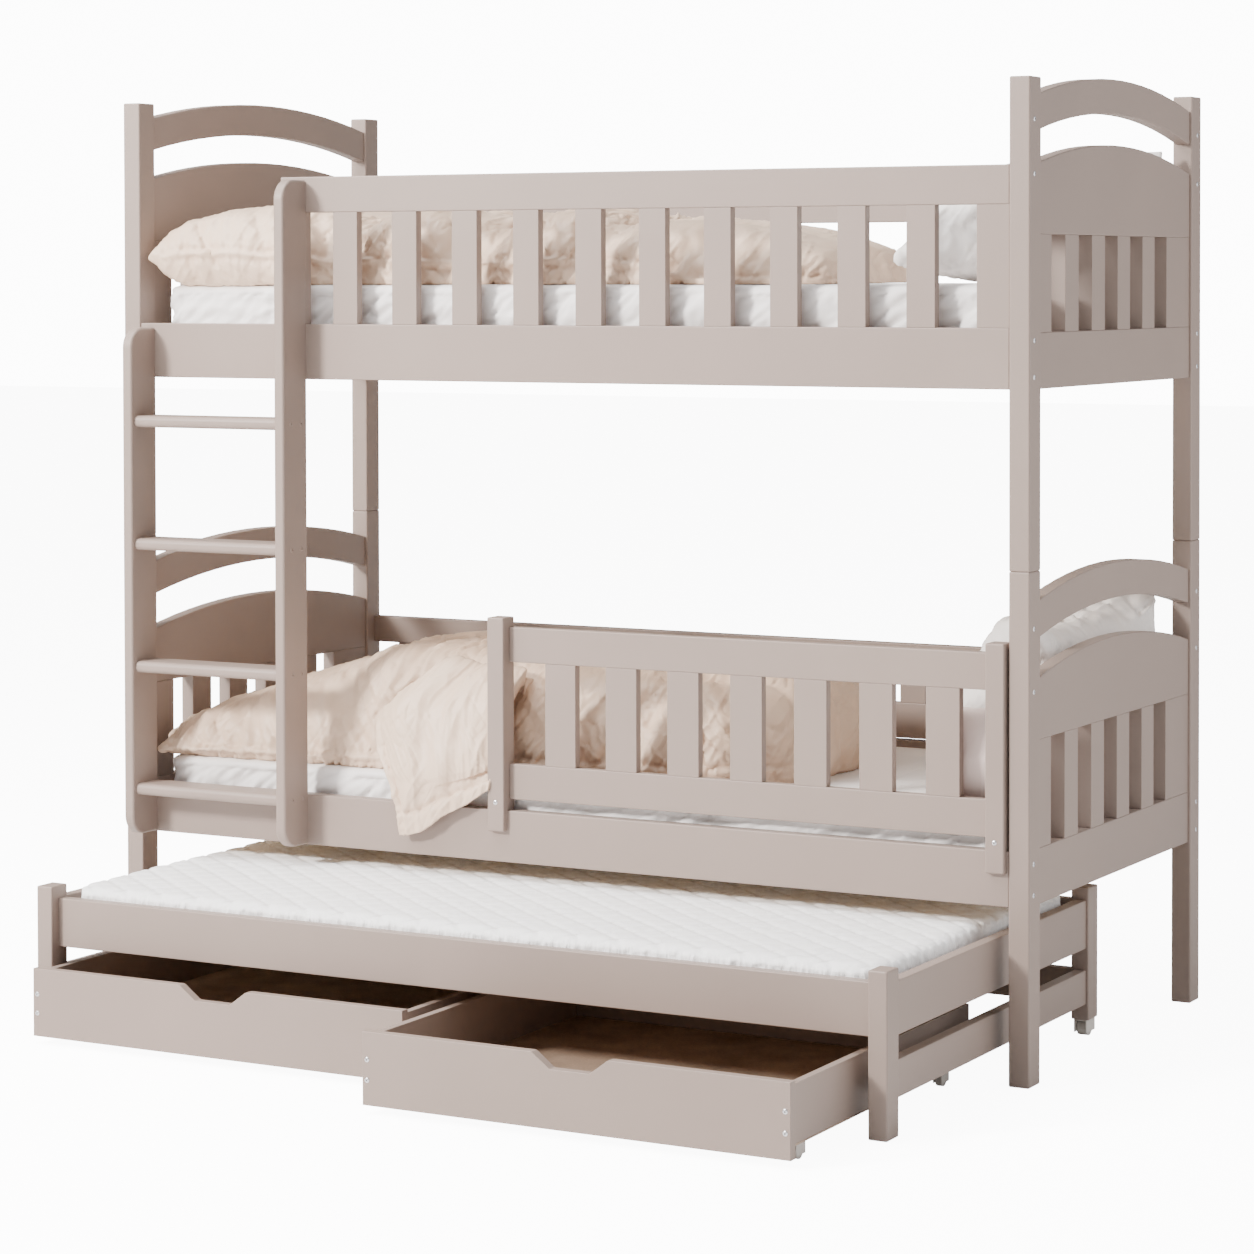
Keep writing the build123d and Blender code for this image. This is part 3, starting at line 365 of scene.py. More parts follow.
def quilted_knit():
    """Knitted mattress ticking sewn to its wadding: painted shade darkens the sewn hollows, and the knit is
    fine and crumpled. Its stitches are drawn three times as coarse as the real ones, so that they show."""
    material, tree, shader = new_material("white quilted knit")
    place = add_node(tree, "ShaderNodeTexCoord").outputs["Object"]
    puff = add_node(tree, "ShaderNodeAttribute", {"attribute_name": "puff"}).outputs["Fac"]
    knit = add_node(tree, "ShaderNodeTexVoronoi", values={"Scale": 1 / (2.6 * MM)}, links={"Vector": place})
    slack = add_node(
        tree, "ShaderNodeTexNoise", values={"Scale": 1 / (29.4 * MM), "Detail": 4.0, "Distortion": 1.0},
        links={"Vector": place})
    # Painted shade: the colour darkens to #DBD7D6 in the sewn hollows, where the puff attribute is low
    line = add_node(tree, "ShaderNodeMapRange", values={"From Max": 0.45}, links={"Value": puff})
    shade = add_node(
        tree, "ShaderNodeMix", {"data_type": "RGBA"}, {"A": linear("#DBD7D6"), "B": linear("#FBFAFA")},
        {"Factor": line.outputs["Result"]})
    tree.links.new(shade.outputs["Result"], shader.inputs["Base Color"])
    shader.inputs["Roughness"].default_value = 0.7
    shader.inputs["Sheen Weight"].default_value = 0.1
    pleat_scale = (1 / (11 * MM), 1 / (11 * MM), 1 / (80 * MM))
    narrow = add_node(tree, "ShaderNodeMapping", values={"Scale": pleat_scale}, links={"Vector": place})
    pleats = add_node(
        tree, "ShaderNodeTexNoise", values={"Scale": 1.0, "Detail": 2.0},
        links={"Vector": narrow.outputs["Vector"]})
    edge = add_node(tree, "ShaderNodeAttribute", {"attribute_name": "gather"})
    drawn = add_node(
        tree, "ShaderNodeMath", {"operation": "MULTIPLY"},
        links={0: pleats.outputs["Fac"], 1: edge.outputs["Fac"]})
    height = add_node(
        tree, "ShaderNodeMath", {"operation": "MULTIPLY_ADD"}, {1: 2.5},
        {0: drawn.outputs["Value"], 2: slack.outputs["Fac"]})
    first = add_node(
        tree, "ShaderNodeBump", values={"Strength": 0.8, "Distance": 3.2 * MM},
        links={"Height": height.outputs["Value"]})
    second = add_node(
        tree, "ShaderNodeBump", values={"Strength": 0.4, "Distance": 0.5 * MM},
        links={"Height": knit.outputs["Distance"], "Normal": first.outputs["Normal"]})
    tree.links.new(second.outputs["Normal"], shader.inputs["Normal"])
    return material


MATERIALS = {}


def material(name):
    """A finish by its short name, made the first time it is asked for."""
    if name not in MATERIALS:
        MATERIALS[name] = FINISHES[name]()
    return MATERIALS[name]


FINISHES = {
    "paint X": lambda: painted_pine("X"),
    "paint Y": lambda: painted_pine("Y"),
    "paint Z": lambda: painted_pine("Z"),
    "pine X": lambda: bare_pine("X"),
    "pine Y": lambda: bare_pine("Y"),
    "beech Y": lambda: bare_pine("Y", "turned beech", "#E2C39A", "#CDA377"),
    "hardboard": hardboard,
    "zinc": zinc_plate,
    "bracket": lambda: moulded_plastic("grey polypropylene bracket", "#CFC8C2", 0.45),
    "wheel": lambda: moulded_plastic("grey polypropylene wheel", "#BFB9B3", 0.5),
    "quilt cotton": lambda: woven_cotton(
        "sand cotton sateen", tuple(bpy.context.scene.bunk_bedding.quilt), linear("#D1B49B"), 3.0 * MM, 0.48),
    "pillow cotton": lambda: woven_cotton(
        "off-white cotton percale", linear("#F7F3F0"), linear("#EAE4DF"), 2.6 * MM, 0.7),
    "small pillow cotton": lambda: woven_cotton(
        "pale pink cotton percale", linear("#F0E0DB"), linear("#E4CFC8"), 2.0 * MM, 0.7),
    "sheet cotton": lambda: woven_cotton(
        "white cotton fitted sheet", linear("#F9F6F5"), linear("#EEE9E7"), 3.0 * MM, 0.75),
    "quilted knit": quilted_knit,
}

TIMBER = {
    "paint X": (
        "upper_front_board", "upper_back_board", "lower_front_rail", "lower_back_rail", "upper_guard_rail",
        "back_guard_rails", "low_guard_rails", "ladder_rungs", "trundle_front_rail", "trundle_back_rails",
        "drawer_left_front", "drawer_right_front",
    ),
    "paint Y": (
        "upper_arch_rails", "lower_arch_rails", "upper_head_panels", "lower_head_panels", "end_boards",
        "trundle_side_rails", "drawer_left_sides", "drawer_right_sides",
    ),
    "paint Z": (
        "lower_posts", "upper_posts", "end_slats", "upper_guard_slats", "back_guard_slats", "low_guard_slats",
        "low_guard_uprights", "ladder_left_stile", "ladder_right_stile", "trundle_legs",
    ),
    "pine X": ("bed_battens", "trundle_battens"),
    "pine Y": ("upper_bed_slats", "lower_bed_slats", "trundle_slats"),
    "beech Y": ("end_dowels", "post_dowels"),
    "hardboard": ("drawer_left_floor", "drawer_right_floor"),
}
PLASTIC = {
    "bracket": ("trundle_roller_brackets", "drawer_left_castor_brackets", "drawer_right_castor_brackets"),
    "wheel": (
        "trundle_left_roller", "trundle_right_roller", "drawer_left_front_wheels", "drawer_left_back_wheels",
        "drawer_right_front_wheels", "drawer_right_back_wheels",
    ),
}
# The ladder's screws are painted over
SCREWS = {
    "frame_bolts": "zinc", "ladder_screws": "paint Z",
    "drawer_left_screws": "zinc", "drawer_right_screws": "zinc",
}


def finish_mesh(mesh, finish):
    """Gives a mesh one material and no other."""
    mesh.materials.clear()
    mesh.materials.append(material(finish))


def finish_nodes(table):
    """Gives each listed node its material."""
    for finish, nodes in table.items():
        for node in nodes:
            finish_mesh(frame["nodes"][node].data, finish)


def body_of(node):
    """The moving body that a node belongs to."""
    return next(body for body, nodes in BODIES.items() if node in nodes)


# Mesh helpers


def mesh_object(name, points, faces, finish, smooth=True):
    """An object from points and faces in the bed's frame, with its material."""
    mesh = bpy.data.meshes.new(name)
    mesh.from_pydata([tuple(p) for p in points], [], faces)
    mesh.update()
    mesh.materials.append(material(finish))
    if smooth:
        mesh.shade_smooth()
    obj = bpy.data.objects.new(name, mesh)
    bpy.context.scene.collection.objects.link(obj)
    return obj


def points_of(mesh, what="co"):
    """The mesh's points as an array."""
    flat = np.empty(len(mesh.vertices) * 3)
    mesh.vertices.foreach_get(what, flat)
    return flat.reshape(-1, 3)


def set_points(mesh, points):
    """Writes the points of an array back to the mesh."""
    mesh.vertices.foreach_set("co", np.ascontiguousarray(points).ravel())
    mesh.update()


def normals_of(mesh):
    """The normals at the mesh's points as an array."""
    return points_of(mesh, "normal")


@contextmanager
def reworked(mesh):
    """The mesh as a bmesh for a while, written back at the end."""
    work = bmesh.new()
    work.from_mesh(mesh)
    yield work
    work.to_mesh(mesh)
    work.free()


def pushed(obj, push):
    """Moves each of the object's points along its normal."""
    set_points(obj.data, points_of(obj.data) + normals_of(obj.data) * push[:, None])


def applied(obj):
    """Applies the object's modifiers and removes them."""
    graph = bpy.context.evaluated_depsgraph_get()
    mesh = bpy.data.meshes.new_from_object(obj.evaluated_get(graph))
    old = obj.data
    obj.modifiers.clear()
    obj.data = mesh
    bpy.data.meshes.remove(old)


def remeshed(obj, voxel):
    """Makes the object one closed skin with an even mesh."""
    modifier = obj.modifiers.new("skin", "REMESH")
    modifier.mode = "VOXEL"
    modifier.voxel_size = voxel
    modifier.use_smooth_shade = True
    applied(obj)


def refined(obj):
    """Subdivides the object once, smoothly."""
    modifier = obj.modifiers.new("smooth", "SUBSURF")
    modifier.levels = modifier.render_levels = 1
    applied(obj)
    obj.data.shade_smooth()


def lattice(points, seed):
    """Smooth noise from about -1 to 1 at each point, with cells of unit size."""
    cell = np.floor(points).astype(np.int64)
    inside = points - cell
    ease = inside ** 3 * (inside * (inside * 6 - 15) + 10)
    total = np.zeros(len(points))
    for corner in np.ndindex(2, 2, 2):
        at = cell + corner
        code = at[:, 0] * 374761393 + at[:, 1] * 668265263 + at[:, 2] * 1442695041 + seed * 97471
        code &= 0xFFFFFFFF
        code = ((code ^ (code >> 13)) * 1274126177) & 0xFFFFFFFF
        code ^= code >> 16
        turn = (code & 0xFFFF) * (2 * math.pi / 0x10000)
        lift = ((code >> 16) & 0xFFFF) / 0x8000 - 1
        flat = np.sqrt(1 - lift ** 2)
        away = inside - corner
        slope = away[:, 0] * flat * np.cos(turn) + away[:, 1] * flat * np.sin(turn) + away[:, 2] * lift
        total += slope * np.prod(np.where(corner, ease, 1 - ease), axis=1)
    return total * 1.6


def on_cloth(across, along):
    """Places on a cloth's own two directions, for noise on it."""
    return np.stack([across, along, np.zeros(len(across))], axis=1)


def creases(points, size, warp, along, seed):
    """Sharp folds from 0 to 1 at each point: ridges of warped noise, stretched along an axis."""
    place = points * np.array(along) / size
    bend = np.stack([lattice(place * 0.5 + 7.3 * turn, seed + turn) for turn in (1, 2, 3)], axis=1)
    return 1 - np.minimum(1, 2.2 * np.abs(lattice(place + warp * bend, seed)))


def swells(points, size, seed):
    """Soft swells from -1 to 1 at each point."""
    return lattice(points / size, seed + 11)


def patches(points, size, seed):
    """Soft-edged patches from 0 to 1 at each point."""
    share = np.clip(swells(points, size, seed) * 1.6 + 0.5, 0, 1)
    return share * share * (3 - 2 * share)


# How far the wrinkles of a cover lean each way, and how large the patches are that have them
WRINKLE_LEANS = (0.9, -0.7)
RIDGE_PATCH, NIP_PATCH = 160 * MM, 130 * MM


def wrinkled(obj, tall, seed, size=55 * MM, calm=1.0):
    """Fine wrinkles in a cover: long pinched lines that lean two ways, with smooth cloth between them."""
    points = points_of(obj.data)
    push = np.zeros(len(points))
    for way, lean in enumerate(WRINKLE_LEANS):
        leaned = points.copy()
        leaned[:, 0] += lean * (points[:, 2] - 0.5 * points[:, 1])
        ridge = creases(leaned, size, 0.35, (1.5, 0.3, 0.3), seed + 13 * way) ** 3
        nip = creases(leaned, size * 0.6, 0.4, (1.6, 0.4, 0.4), seed + 20 + 13 * way) ** 4
        push += ridge * patches(points, RIDGE_PATCH, seed + way)
        push -= 0.8 * nip * patches(points, NIP_PATCH, seed + 5 + way)
    pushed(obj, tall * calm * push)


# Cotton cover as cloth
COTTON = {
    "quality": 5, "mass": 0.25, "tension_stiffness": 12.0, "compression_stiffness": 12.0,
    "shear_stiffness": 4.0, "bending_stiffness": 0.15,
}


def inflated(obj, pressure, cap, pinned, frames=20, grow=0.06):
    """Blows the closed skin up a little as cloth, with each point held within the cap."""
    start = points_of(obj.data).copy()
    group = obj.vertex_groups.new(name="held")
    group.add([int(i) for i in np.flatnonzero(pinned)], 1.0, "REPLACE")
    cloth = obj.modifiers.new("cover", "CLOTH")
    settings = cloth.settings
    for name, value in COTTON.items():
        setattr(settings, name, value)
    settings.use_pressure = True
    settings.uniform_pressure_force = pressure
    settings.shrink_min = -grow
    settings.vertex_group_mass = group.name
    settings.effector_weights.gravity = 0.0
    cloth.collision_settings.use_collision = False
    cloth.point_cache.frame_start = 1
    cloth.point_cache.frame_end = frames
    scene = bpy.context.scene
    for step in range(1, frames + 1):
        scene.frame_set(step)
    applied(obj)
    scene.frame_set(1)
    obj.vertex_groups.clear()
    move = points_of(obj.data) - start
    length = np.linalg.norm(move, axis=1, keepdims=True)
    set_points(obj.data, start + move * np.minimum(1.0, cap / np.maximum(length, 1e-9)))


def kept_above(obj, bunk):
    """Lays the skin onto its crowned mattress, except in front of the rounded edge."""
    points = points_of(obj.data)
    low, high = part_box(f"{bunk}_mattress")
    rest = high[2] - SHEET_GAP + crown(points, low, high, SHEET_CROWN) + QUILT_GAP
    inside = points[:, 1] > FRONT_Y + EDGE_END
    flat = inside & (points[:, 2] < high[2] + 3 * MM)
    points[flat, 2] = rest[flat]
    points[inside, 2] = np.maximum(points[inside, 2], rest[inside])
    set_points(obj.data, points)


def closed_rings(rings):
    """Faces of a closed skin through rings of equal length, each from its first point to its last."""
    count = len(rings[0])
    faces = []
    for place in range(len(rings) - 1):
        for side in range(count):
            a = place * count + side
            b = place * count + (side + 1) % count
            faces.append((a, b, b + count, a + count))
    faces.append(tuple(reversed(range(count))))
    last = (len(rings) - 1) * count
    faces.append(tuple(range(last, last + count)))
    return faces


def smooth_line(table, steps):
    """Values along a line through given places: a monotone cubic at even steps."""
    places = np.array([row[0] for row in table])
    values = np.array([row[1:] for row in table])
    where = np.linspace(places[0], places[-1], steps)
    found = np.empty((steps, values.shape[1]))
    for column in range(values.shape[1]):
        v = values[:, column]
        step = np.diff(places)
        rise = np.diff(v) / step
        slope = np.zeros(len(v))
        for i in range(1, len(v) - 1):
            if rise[i - 1] * rise[i] > 0:
                slope[i] = 2 * rise[i - 1] * rise[i] / (rise[i - 1] + rise[i])
        slope[0], slope[-1] = rise[0], rise[-1]
        at = np.clip(np.searchsorted(places, where) - 1, 0, len(step) - 1)
        t = (where - places[at]) / step[at]
        h = step[at]
        found[:, column] = (
            (2 * t ** 3 - 3 * t ** 2 + 1) * v[at] + (t ** 3 - 2 * t ** 2 + t) * h * slope[at]
            + (-2 * t ** 3 + 3 * t ** 2) * v[at + 1] + (t ** 3 - t ** 2) * h * slope[at + 1])
    return where, found


# Quilts: place along the bed, height, front edge, back edge, height of the edge seam and
# how far the underside is lifted, in mm off the left post's outer face, the front and the mattress
UPPER_QUILT = (
    (54, 55, 3, 380, 51, 48), (61, 66, 5, 430, 52, 42), (75, 80, 8, 480, 53, 28),
    (94, 95, 10, 520, 54, 9), (122, 110, 12, 560, 55, 0), (160, 122, 12, 600, 56, 0),
    (205, 131, 12, 630, 57, 0), (260, 139, 13, 650, 56, 0), (310, 143, 15, 668, 54, 0),
    (382, 122, 22, 668, 48, 0), (452, 80, 40, 660, 36, 0), (540, 114, 34, 676, 42, 0),
    (620, 130, 34, 680, 40, 0), (708, 108, 46, 672, 36, 0), (784, 96, 52, 668, 36, 0),
    (870, 126, 36, 680, 42, 0), (944, 122, 38, 684, 42, 0), (990, 92, 54, 676, 34, 0),
    (1070, 108, 38, 684, 36, 0), (1136, 104, 46, 672, 26, 0), (1200, 100, 52, 660, 5, 0),
    (1262, 94, 54, 645, 3, 0), (1325, 82, 60, 620, 3, 0), (1382, 66, 72, 585, 3, 0),
    (1428, 45, 94, 530, 3, 0), (1452, 20, 130, 460, 3, 0),
)
LOWER_QUILT = (
    (58, 22, 8, 420, 8, 2), (66, 40, 10, 480, 10, 1), (80, 54, 14, 560, 11, 0), (104, 66, 20, 620, 12, 0),
    (146, 84, 25, 680, 13, 0), (207, 108, 28, 724, 14, 0), (323, 146, 30, 736, 16, 0),
    (415, 176, 32, 744, 17, 0), (495, 200, 34, 744, 18, 0), (560, 214, 36, 742, 18, 0),
    (620, 214, 40, 740, 18, 0), (706, 206, 44, 740, 20, 0), (820, 200, 46, 736, 24, 0),
    (900, 198, 48, 730, 26, 0), (1000, 194, 56, 724, 28, 0), (1068, 186, 74, 716, 28, 0),
    (1150, 194, 92, 700, 26, 0), (1220, 190, 120, 684, 26, 0), (1290, 172, 165, 650, 30, 0),
    (1330, 128, 230, 600, 30, 0), (1352, 58, 300, 540, 24, 0),
)
# Where each quilt's crest runs, as a share of its width, at places along the bed
UPPER_CREST = ((54, 0.16), (130, 0.16), (220, 0.30), (330, 0.40))
LOWER_CREST = ((58, 0.25), (200, 0.36), (600, 0.42))
# How rumpled each quilt is at places along the bed
UPPER_CALM = (60, 330, 430, 1060, 1130), (0.45, 0.5, 1.0, 1.0, 0.5)
LOWER_CALM = (150, 520, 640, 1280, 1400), (0.6, 0.75, 1.0, 1.0, 0.5)
# Deep folds of each quilt: two ends in the same mm, how deep and how wide
UPPER_FOLDS = (
    ((452, 20, 1440), (500, 420, 1480), 20, 26), ((560, 20, 1400), (640, 300, 1500), 14, 18),
    ((700, 30, 1480), (780, 30, 1390), 18, 16), ((745, 60, 1500), (800, 400, 1470), 16, 24),
    ((840, 20, 1400), (900, 120, 1500), 12, 14), ((985, 30, 1390), (1010, 500, 1470), 20, 22),
    ((1040, 20, 1490), (1110, 30, 1400), 14, 14), ((1205, 90, 1470), (1260, 160, 1440), 8, 10),
    ((1340, 120, 1440), (1365, 180, 1415), 6, 8),
)
LOWER_FOLDS = (
    ((565, 140, 684), (640, 70, 628), 24, 16), ((430, 30, 590), (545, 26, 470), 16, 15),
    ((632, 96, 640), (548, 30, 556), 34, 17), ((546, 30, 570), (574, 10, 452), 30, 16),
    ((470, 60, 640), (520, 34, 520), 12, 14), ((300, 20, 570), (380, 18, 480), 7, 12),
    ((180, 20, 540), (230, 16, 470), 6, 12), ((860, 40, 640), (950, 40, 500), 16, 16),
    ((930, 30, 660), (1060, 50, 560), 14, 16), ((1000, 40, 470), (1110, 120, 620), 18, 16),
    ((1120, 70, 620), (1200, 90, 480), 15, 16), ((1060, 200, 660), (1240, 220, 640), 16, 22),
    ((1220, 110, 600), (1300, 150, 500), 12, 14),
)
# They are pressed in deeper and narrower than they end up, because the last subdivision softens them
FOLD_DEPTH, FOLD_WIDTH = 1.3, 0.85

# Slices of a quilt, and a slice's points: along its flat underside, up to each seam, and over the top
QUILT_SLICES, UNDER_POINTS, EDGE_POINTS, OVER_POINTS = 150, 16, 11, 26
# How far the flat underside ends behind each seam, in mm
FOOT = 42.0


def quilt_ring(x, height, front, back, seam, lift, floor_z, crest):
    """One slice across a quilt: two covers that meet in a seam along the front and the back edge."""
    middle = front + (back - front) * crest
    foot = min(FOOT, 0.3 * (back - front))
    dip = 0.16 * max(0.0, seam - lift - 20)
    ring = []
    for share in np.linspace(0.0, 1.0, UNDER_POINTS):
        ring.append((x, front + foot + share * (back - front - 2 * foot), floor_z + lift))
    for edge, way in ((back, -1), (front, 1)):
        under = []
        for share in np.linspace(0.0, 1.0, EDGE_POINTS)[1:]:
            y = edge + way * foot * (1 - share)
            belly = math.sin(math.pi * min(1.0, share * 1.35)) * dip if edge == front else 0.0
            under.append((x, y, floor_z + lift + (seam - lift) * share ** 4.5 - belly))
        over = []
        for share in np.linspace(0.0, 1.0, OVER_POINTS)[1:]:
            y = edge + (middle - edge) * share ** 1.5
            over.append((x, y, floor_z + seam + (height - seam) * (1 - (1 - share) ** 2.6) ** 0.8))
        ring += under + over if edge == back else list(reversed(under + over[:-1]))
    return ring


def off_tip(bed_x):
    """From 0 at a quilt's calm left tip to 1 away from it, at places along the bed in mm."""
    return np.clip((bed_x - 75) / 60, 0, 1)


def hem_drift(x, seed):
    """How far a hem wanders off its line at each place along the bed, in metres."""
    place = on_cloth(x / (75 * MM), np.zeros(len(x)))
    return 5.5 * MM * lattice(place, seed) + 3 * MM * lattice(place * 2.3, seed + 1)


def quilt_form(name, table, floor_z, crests, seed):
    """The plump body of a quilt, through its slices."""
    where, values = smooth_line(table, QUILT_SLICES)
    x = where * MM + POST_LEFT
    values[:, 3] += np.minimum(1, values[:, 3] / 20) * off_tip(where) * hem_drift(x, seed) / MM
    values[:, 1] += off_tip(where) * hem_drift(x, seed + 5) / MM
    crest = np.interp(where, [row[0] for row in crests], [row[1] for row in crests])
    rings = [quilt_ring(place, *row, floor_z, share) for place, row, share in zip(where, values, crest)]
    points = [bed_place(*point) for ring in rings for point in ring]
    obj = mesh_object(name, points, closed_rings(rings), "quilt cotton")
    with reworked(obj.data) as work:
        bmesh.ops.recalc_face_normals(work, faces=work.faces)
    return obj


def pressed_folds(obj, folds):
    """Deep folds pressed into a quilt along listed lines."""
    points = points_of(obj.data)
    push = np.zeros(len(points))
    for start, end, deep, wide in folds:
        deep, wide = deep * FOLD_DEPTH, wide * FOLD_WIDTH
        a, b = np.array(bed_place(*start)), np.array(bed_place(*end))
        along = np.clip(((points - a) @ (b - a)) / ((b - a) @ (b - a)), 0, 1)
        line = a + along[:, None] * (b - a)
        wander = np.clip(0.2 * (np.linalg.norm(b - a) - 150 * MM), 0, 20 * MM)
        line += (wander * np.sin(along * 5.0 + deep))[:, None] * np.array([1.0, 0.0, 0.0])
        away = points - line
        near = np.hypot(np.hypot(away[:, 0], away[:, 2]), away[:, 1] * 0.35) / (wide * MM)
        fade = np.sin(math.pi * np.clip(along, 0.03, 0.97)) ** 0.5
        valley = np.exp(-near ** 2) - 0.35 * np.exp(-((near - 1.9) / 0.8) ** 2)
        push = np.maximum(push, valley * deep * MM * fade)
    pushed(obj, -push)


def rumple(obj, amount, size, seed, hold_below, calm):
    """Folds and hollows in a cover, fading out where it lies on the mattress or is calmer."""
    points = points_of(obj.data)
    free = calm(points) * np.clip((points[:, 2] - hold_below) / (30 * MM), 0.0, 1.0)
    leaned = points.copy()
    leaned[:, 0] += 0.6 * points[:, 2]
    deep = creases(leaned, size, 0.9, (1.1, 0.5, 0.6), seed) ** 2
    fine = creases(leaned, size * 0.5, 0.7, (1.4, 0.4, 0.5), seed + 3) ** 2
    soft = swells(points, size * 1.3, seed)
    pushed(obj, amount * (soft * 0.8 - deep - fine * 0.3) * free)


def seam_lines(table, column):
    """A function of the place along the bed that gives one column of a quilt's table, in metres."""
    places = [bed_place(row[0], 0, 0).x for row in table]
    return lambda x: np.interp(x, places, [row[column] * MM for row in table])


# Gathers along a quilt's front seam: depth, how far they run off it, and how far apart they are
SEAM_DEPTH, SEAM_REACH, SEAM_PITCH = 5.6 * MM, 40 * MM, 18 * MM
# The seam's own narrow edge, with a groove on both sides: how far each stands up and lies off, and widths
SEAM_RISE, SEAM_WIDTH = 5 * MM, 4.5 * MM
GROOVE_DEPTH, GROOVE_PLACE, GROOVE_WIDTH = 3.2 * MM, 10 * MM, 6 * MM


def gathered_seam(obj, table, floor_z, seed):
    """The front seam drawn in to a narrow edge, with gathers that run off it up and down."""
    points = points_of(obj.data)
    normals = normals_of(obj.data)
    seam = seam_lines(table, 4)(points[:, 0])
    seam = floor_z + seam + np.minimum(1, seam / (20 * MM)) * hem_drift(points[:, 0], seed)
    front = FRONT_Y + seam_lines(table, 2)(points[:, 0]) + hem_drift(points[:, 0], seed + 5)
    off = points[:, 2] - seam
    facing = np.clip(1 - (points[:, 1] - front) / (70 * MM), 0, 1) * np.clip(-normals[:, 1] * 2 + 0.4, 0, 1)
    slanted = points[:, 0] + 0.35 * off * np.sin(points[:, 0] * 23)
    place = on_cloth(slanted / SEAM_PITCH, off / (SEAM_REACH * 1.6))
    wave = lattice(place, seed) + 0.6 * lattice(place * (1.9, 1.0, 1.0) + 3.1, seed + 1)
    near = np.exp(-(off / SEAM_REACH) ** 2)
    edge = np.exp(-(off / SEAM_WIDTH) ** 2)
    groove = np.exp(-((np.abs(off) - GROOVE_PLACE) / GROOVE_WIDTH) ** 2)
    drawn = SEAM_DEPTH * wave * near * (1 - edge) + SEAM_RISE * edge - GROOVE_DEPTH * groove
    pushed(obj, facing * off_tip((points[:, 0] - POST_LEFT) / MM) * drawn)


class BUNKBED_OT_timber(bpy.types.Operator):
    """Paints the frame, the low bed and the drawers, and finishes the bare timber"""

    bl_idname = "bunkbed.timber"
    bl_label = "Timber"

    def execute(self, context):
        finish_nodes(TIMBER)
        return {"FINISHED"}


def islands(mesh):
    """The points of each loose piece of a mesh, in the order of their first points."""
    work = bmesh.new()
    work.from_mesh(mesh)
    bmesh.ops.remove_doubles(work, verts=work.verts, dist=1e-6)
    left = set(work.verts)
    found = []
    for start in work.verts:
        if start not in left:
            continue
        left.remove(start)
        stack = [start]
        group = []
        while stack:
            vertex = stack.pop()
            group.append(vertex.co.copy())
            for edge in vertex.link_edges:
                other = edge.other_vert(vertex)
                if other in left:
                    left.remove(other)
                    stack.append(other)
        found.append(group)
    work.free()
    return found


# How deep a screw's end is, in which its radius is looked for
END_DEPTH = 2.5 * MM


def screw_place(group):
    """Where a screw's head stands, which way it points and its radius, from the screw's points."""
    low = Vector([min(p[i] for p in group) for i in range(3)])
    high = Vector([max(p[i] for p in group) for i in range(3)])
    size = high - low
    axis = max(range(3), key=lambda i: size[i])
    middle = (low + high) / 2
    ends = []
    for end in (low, high):
        near = [p for p in group if abs(p[axis] - end[axis]) < END_DEPTH]
        ends.append(max((p - middle).cross(Vector([i == axis for i in range(3)])).length for p in near))
    way = Vector((0, 0, 0))
    way[axis] = 1.0 if ends[1] > ends[0] else -1.0
    tip = middle.copy()
    tip[axis] = (high if ends[1] > ends[0] else low)[axis]
    return tip, way, max(ends)


# Radius and height down a screw's head after its recess, both against the head's radius
HEAD_PROFILE = (
    (0.62, 0.25), (0.86, 0.16), (0.97, 0.06), (1.0, 0.0), (0.66, -0.02), (0.62, -0.8))
SOCKET_FLOOR, SOCKET_RIM = -0.32, 0.285


def screw_mesh(sides, socket_share):
    """A domed head of unit radius with a six-sided recess, on a shank, pointing up from the origin."""
    profile = ((socket_share, SOCKET_FLOOR), (socket_share, SOCKET_RIM)) + HEAD_PROFILE
    flat = math.pi / 3
    points = []
    for radius, height in profile:
        for side in range(sides):
            angle = 2 * math.pi * side / sides
            reach = radius
            if radius == socket_share:
                reach = radius * math.cos(flat / 2) / math.cos((angle % flat) - flat / 2)
            points.append((reach * math.cos(angle), reach * math.sin(angle), height))
    faces = []
    for ring in range(len(profile) - 1):
        for side in range(sides):
            a, b = ring * sides + side, ring * sides + (side + 1) % sides
            faces.append((a, b, b + sides, a + sides))
    faces.append(tuple(range(sides)))
    last = (len(profile) - 1) * sides
    faces.append(tuple(reversed(range(last, last + sides))))
    return points, faces


# How far a screw's head is sunk into the timber, against its radius, and the seed of its turns
HEAD_SINK, TURN_SEED = 0.30, 7


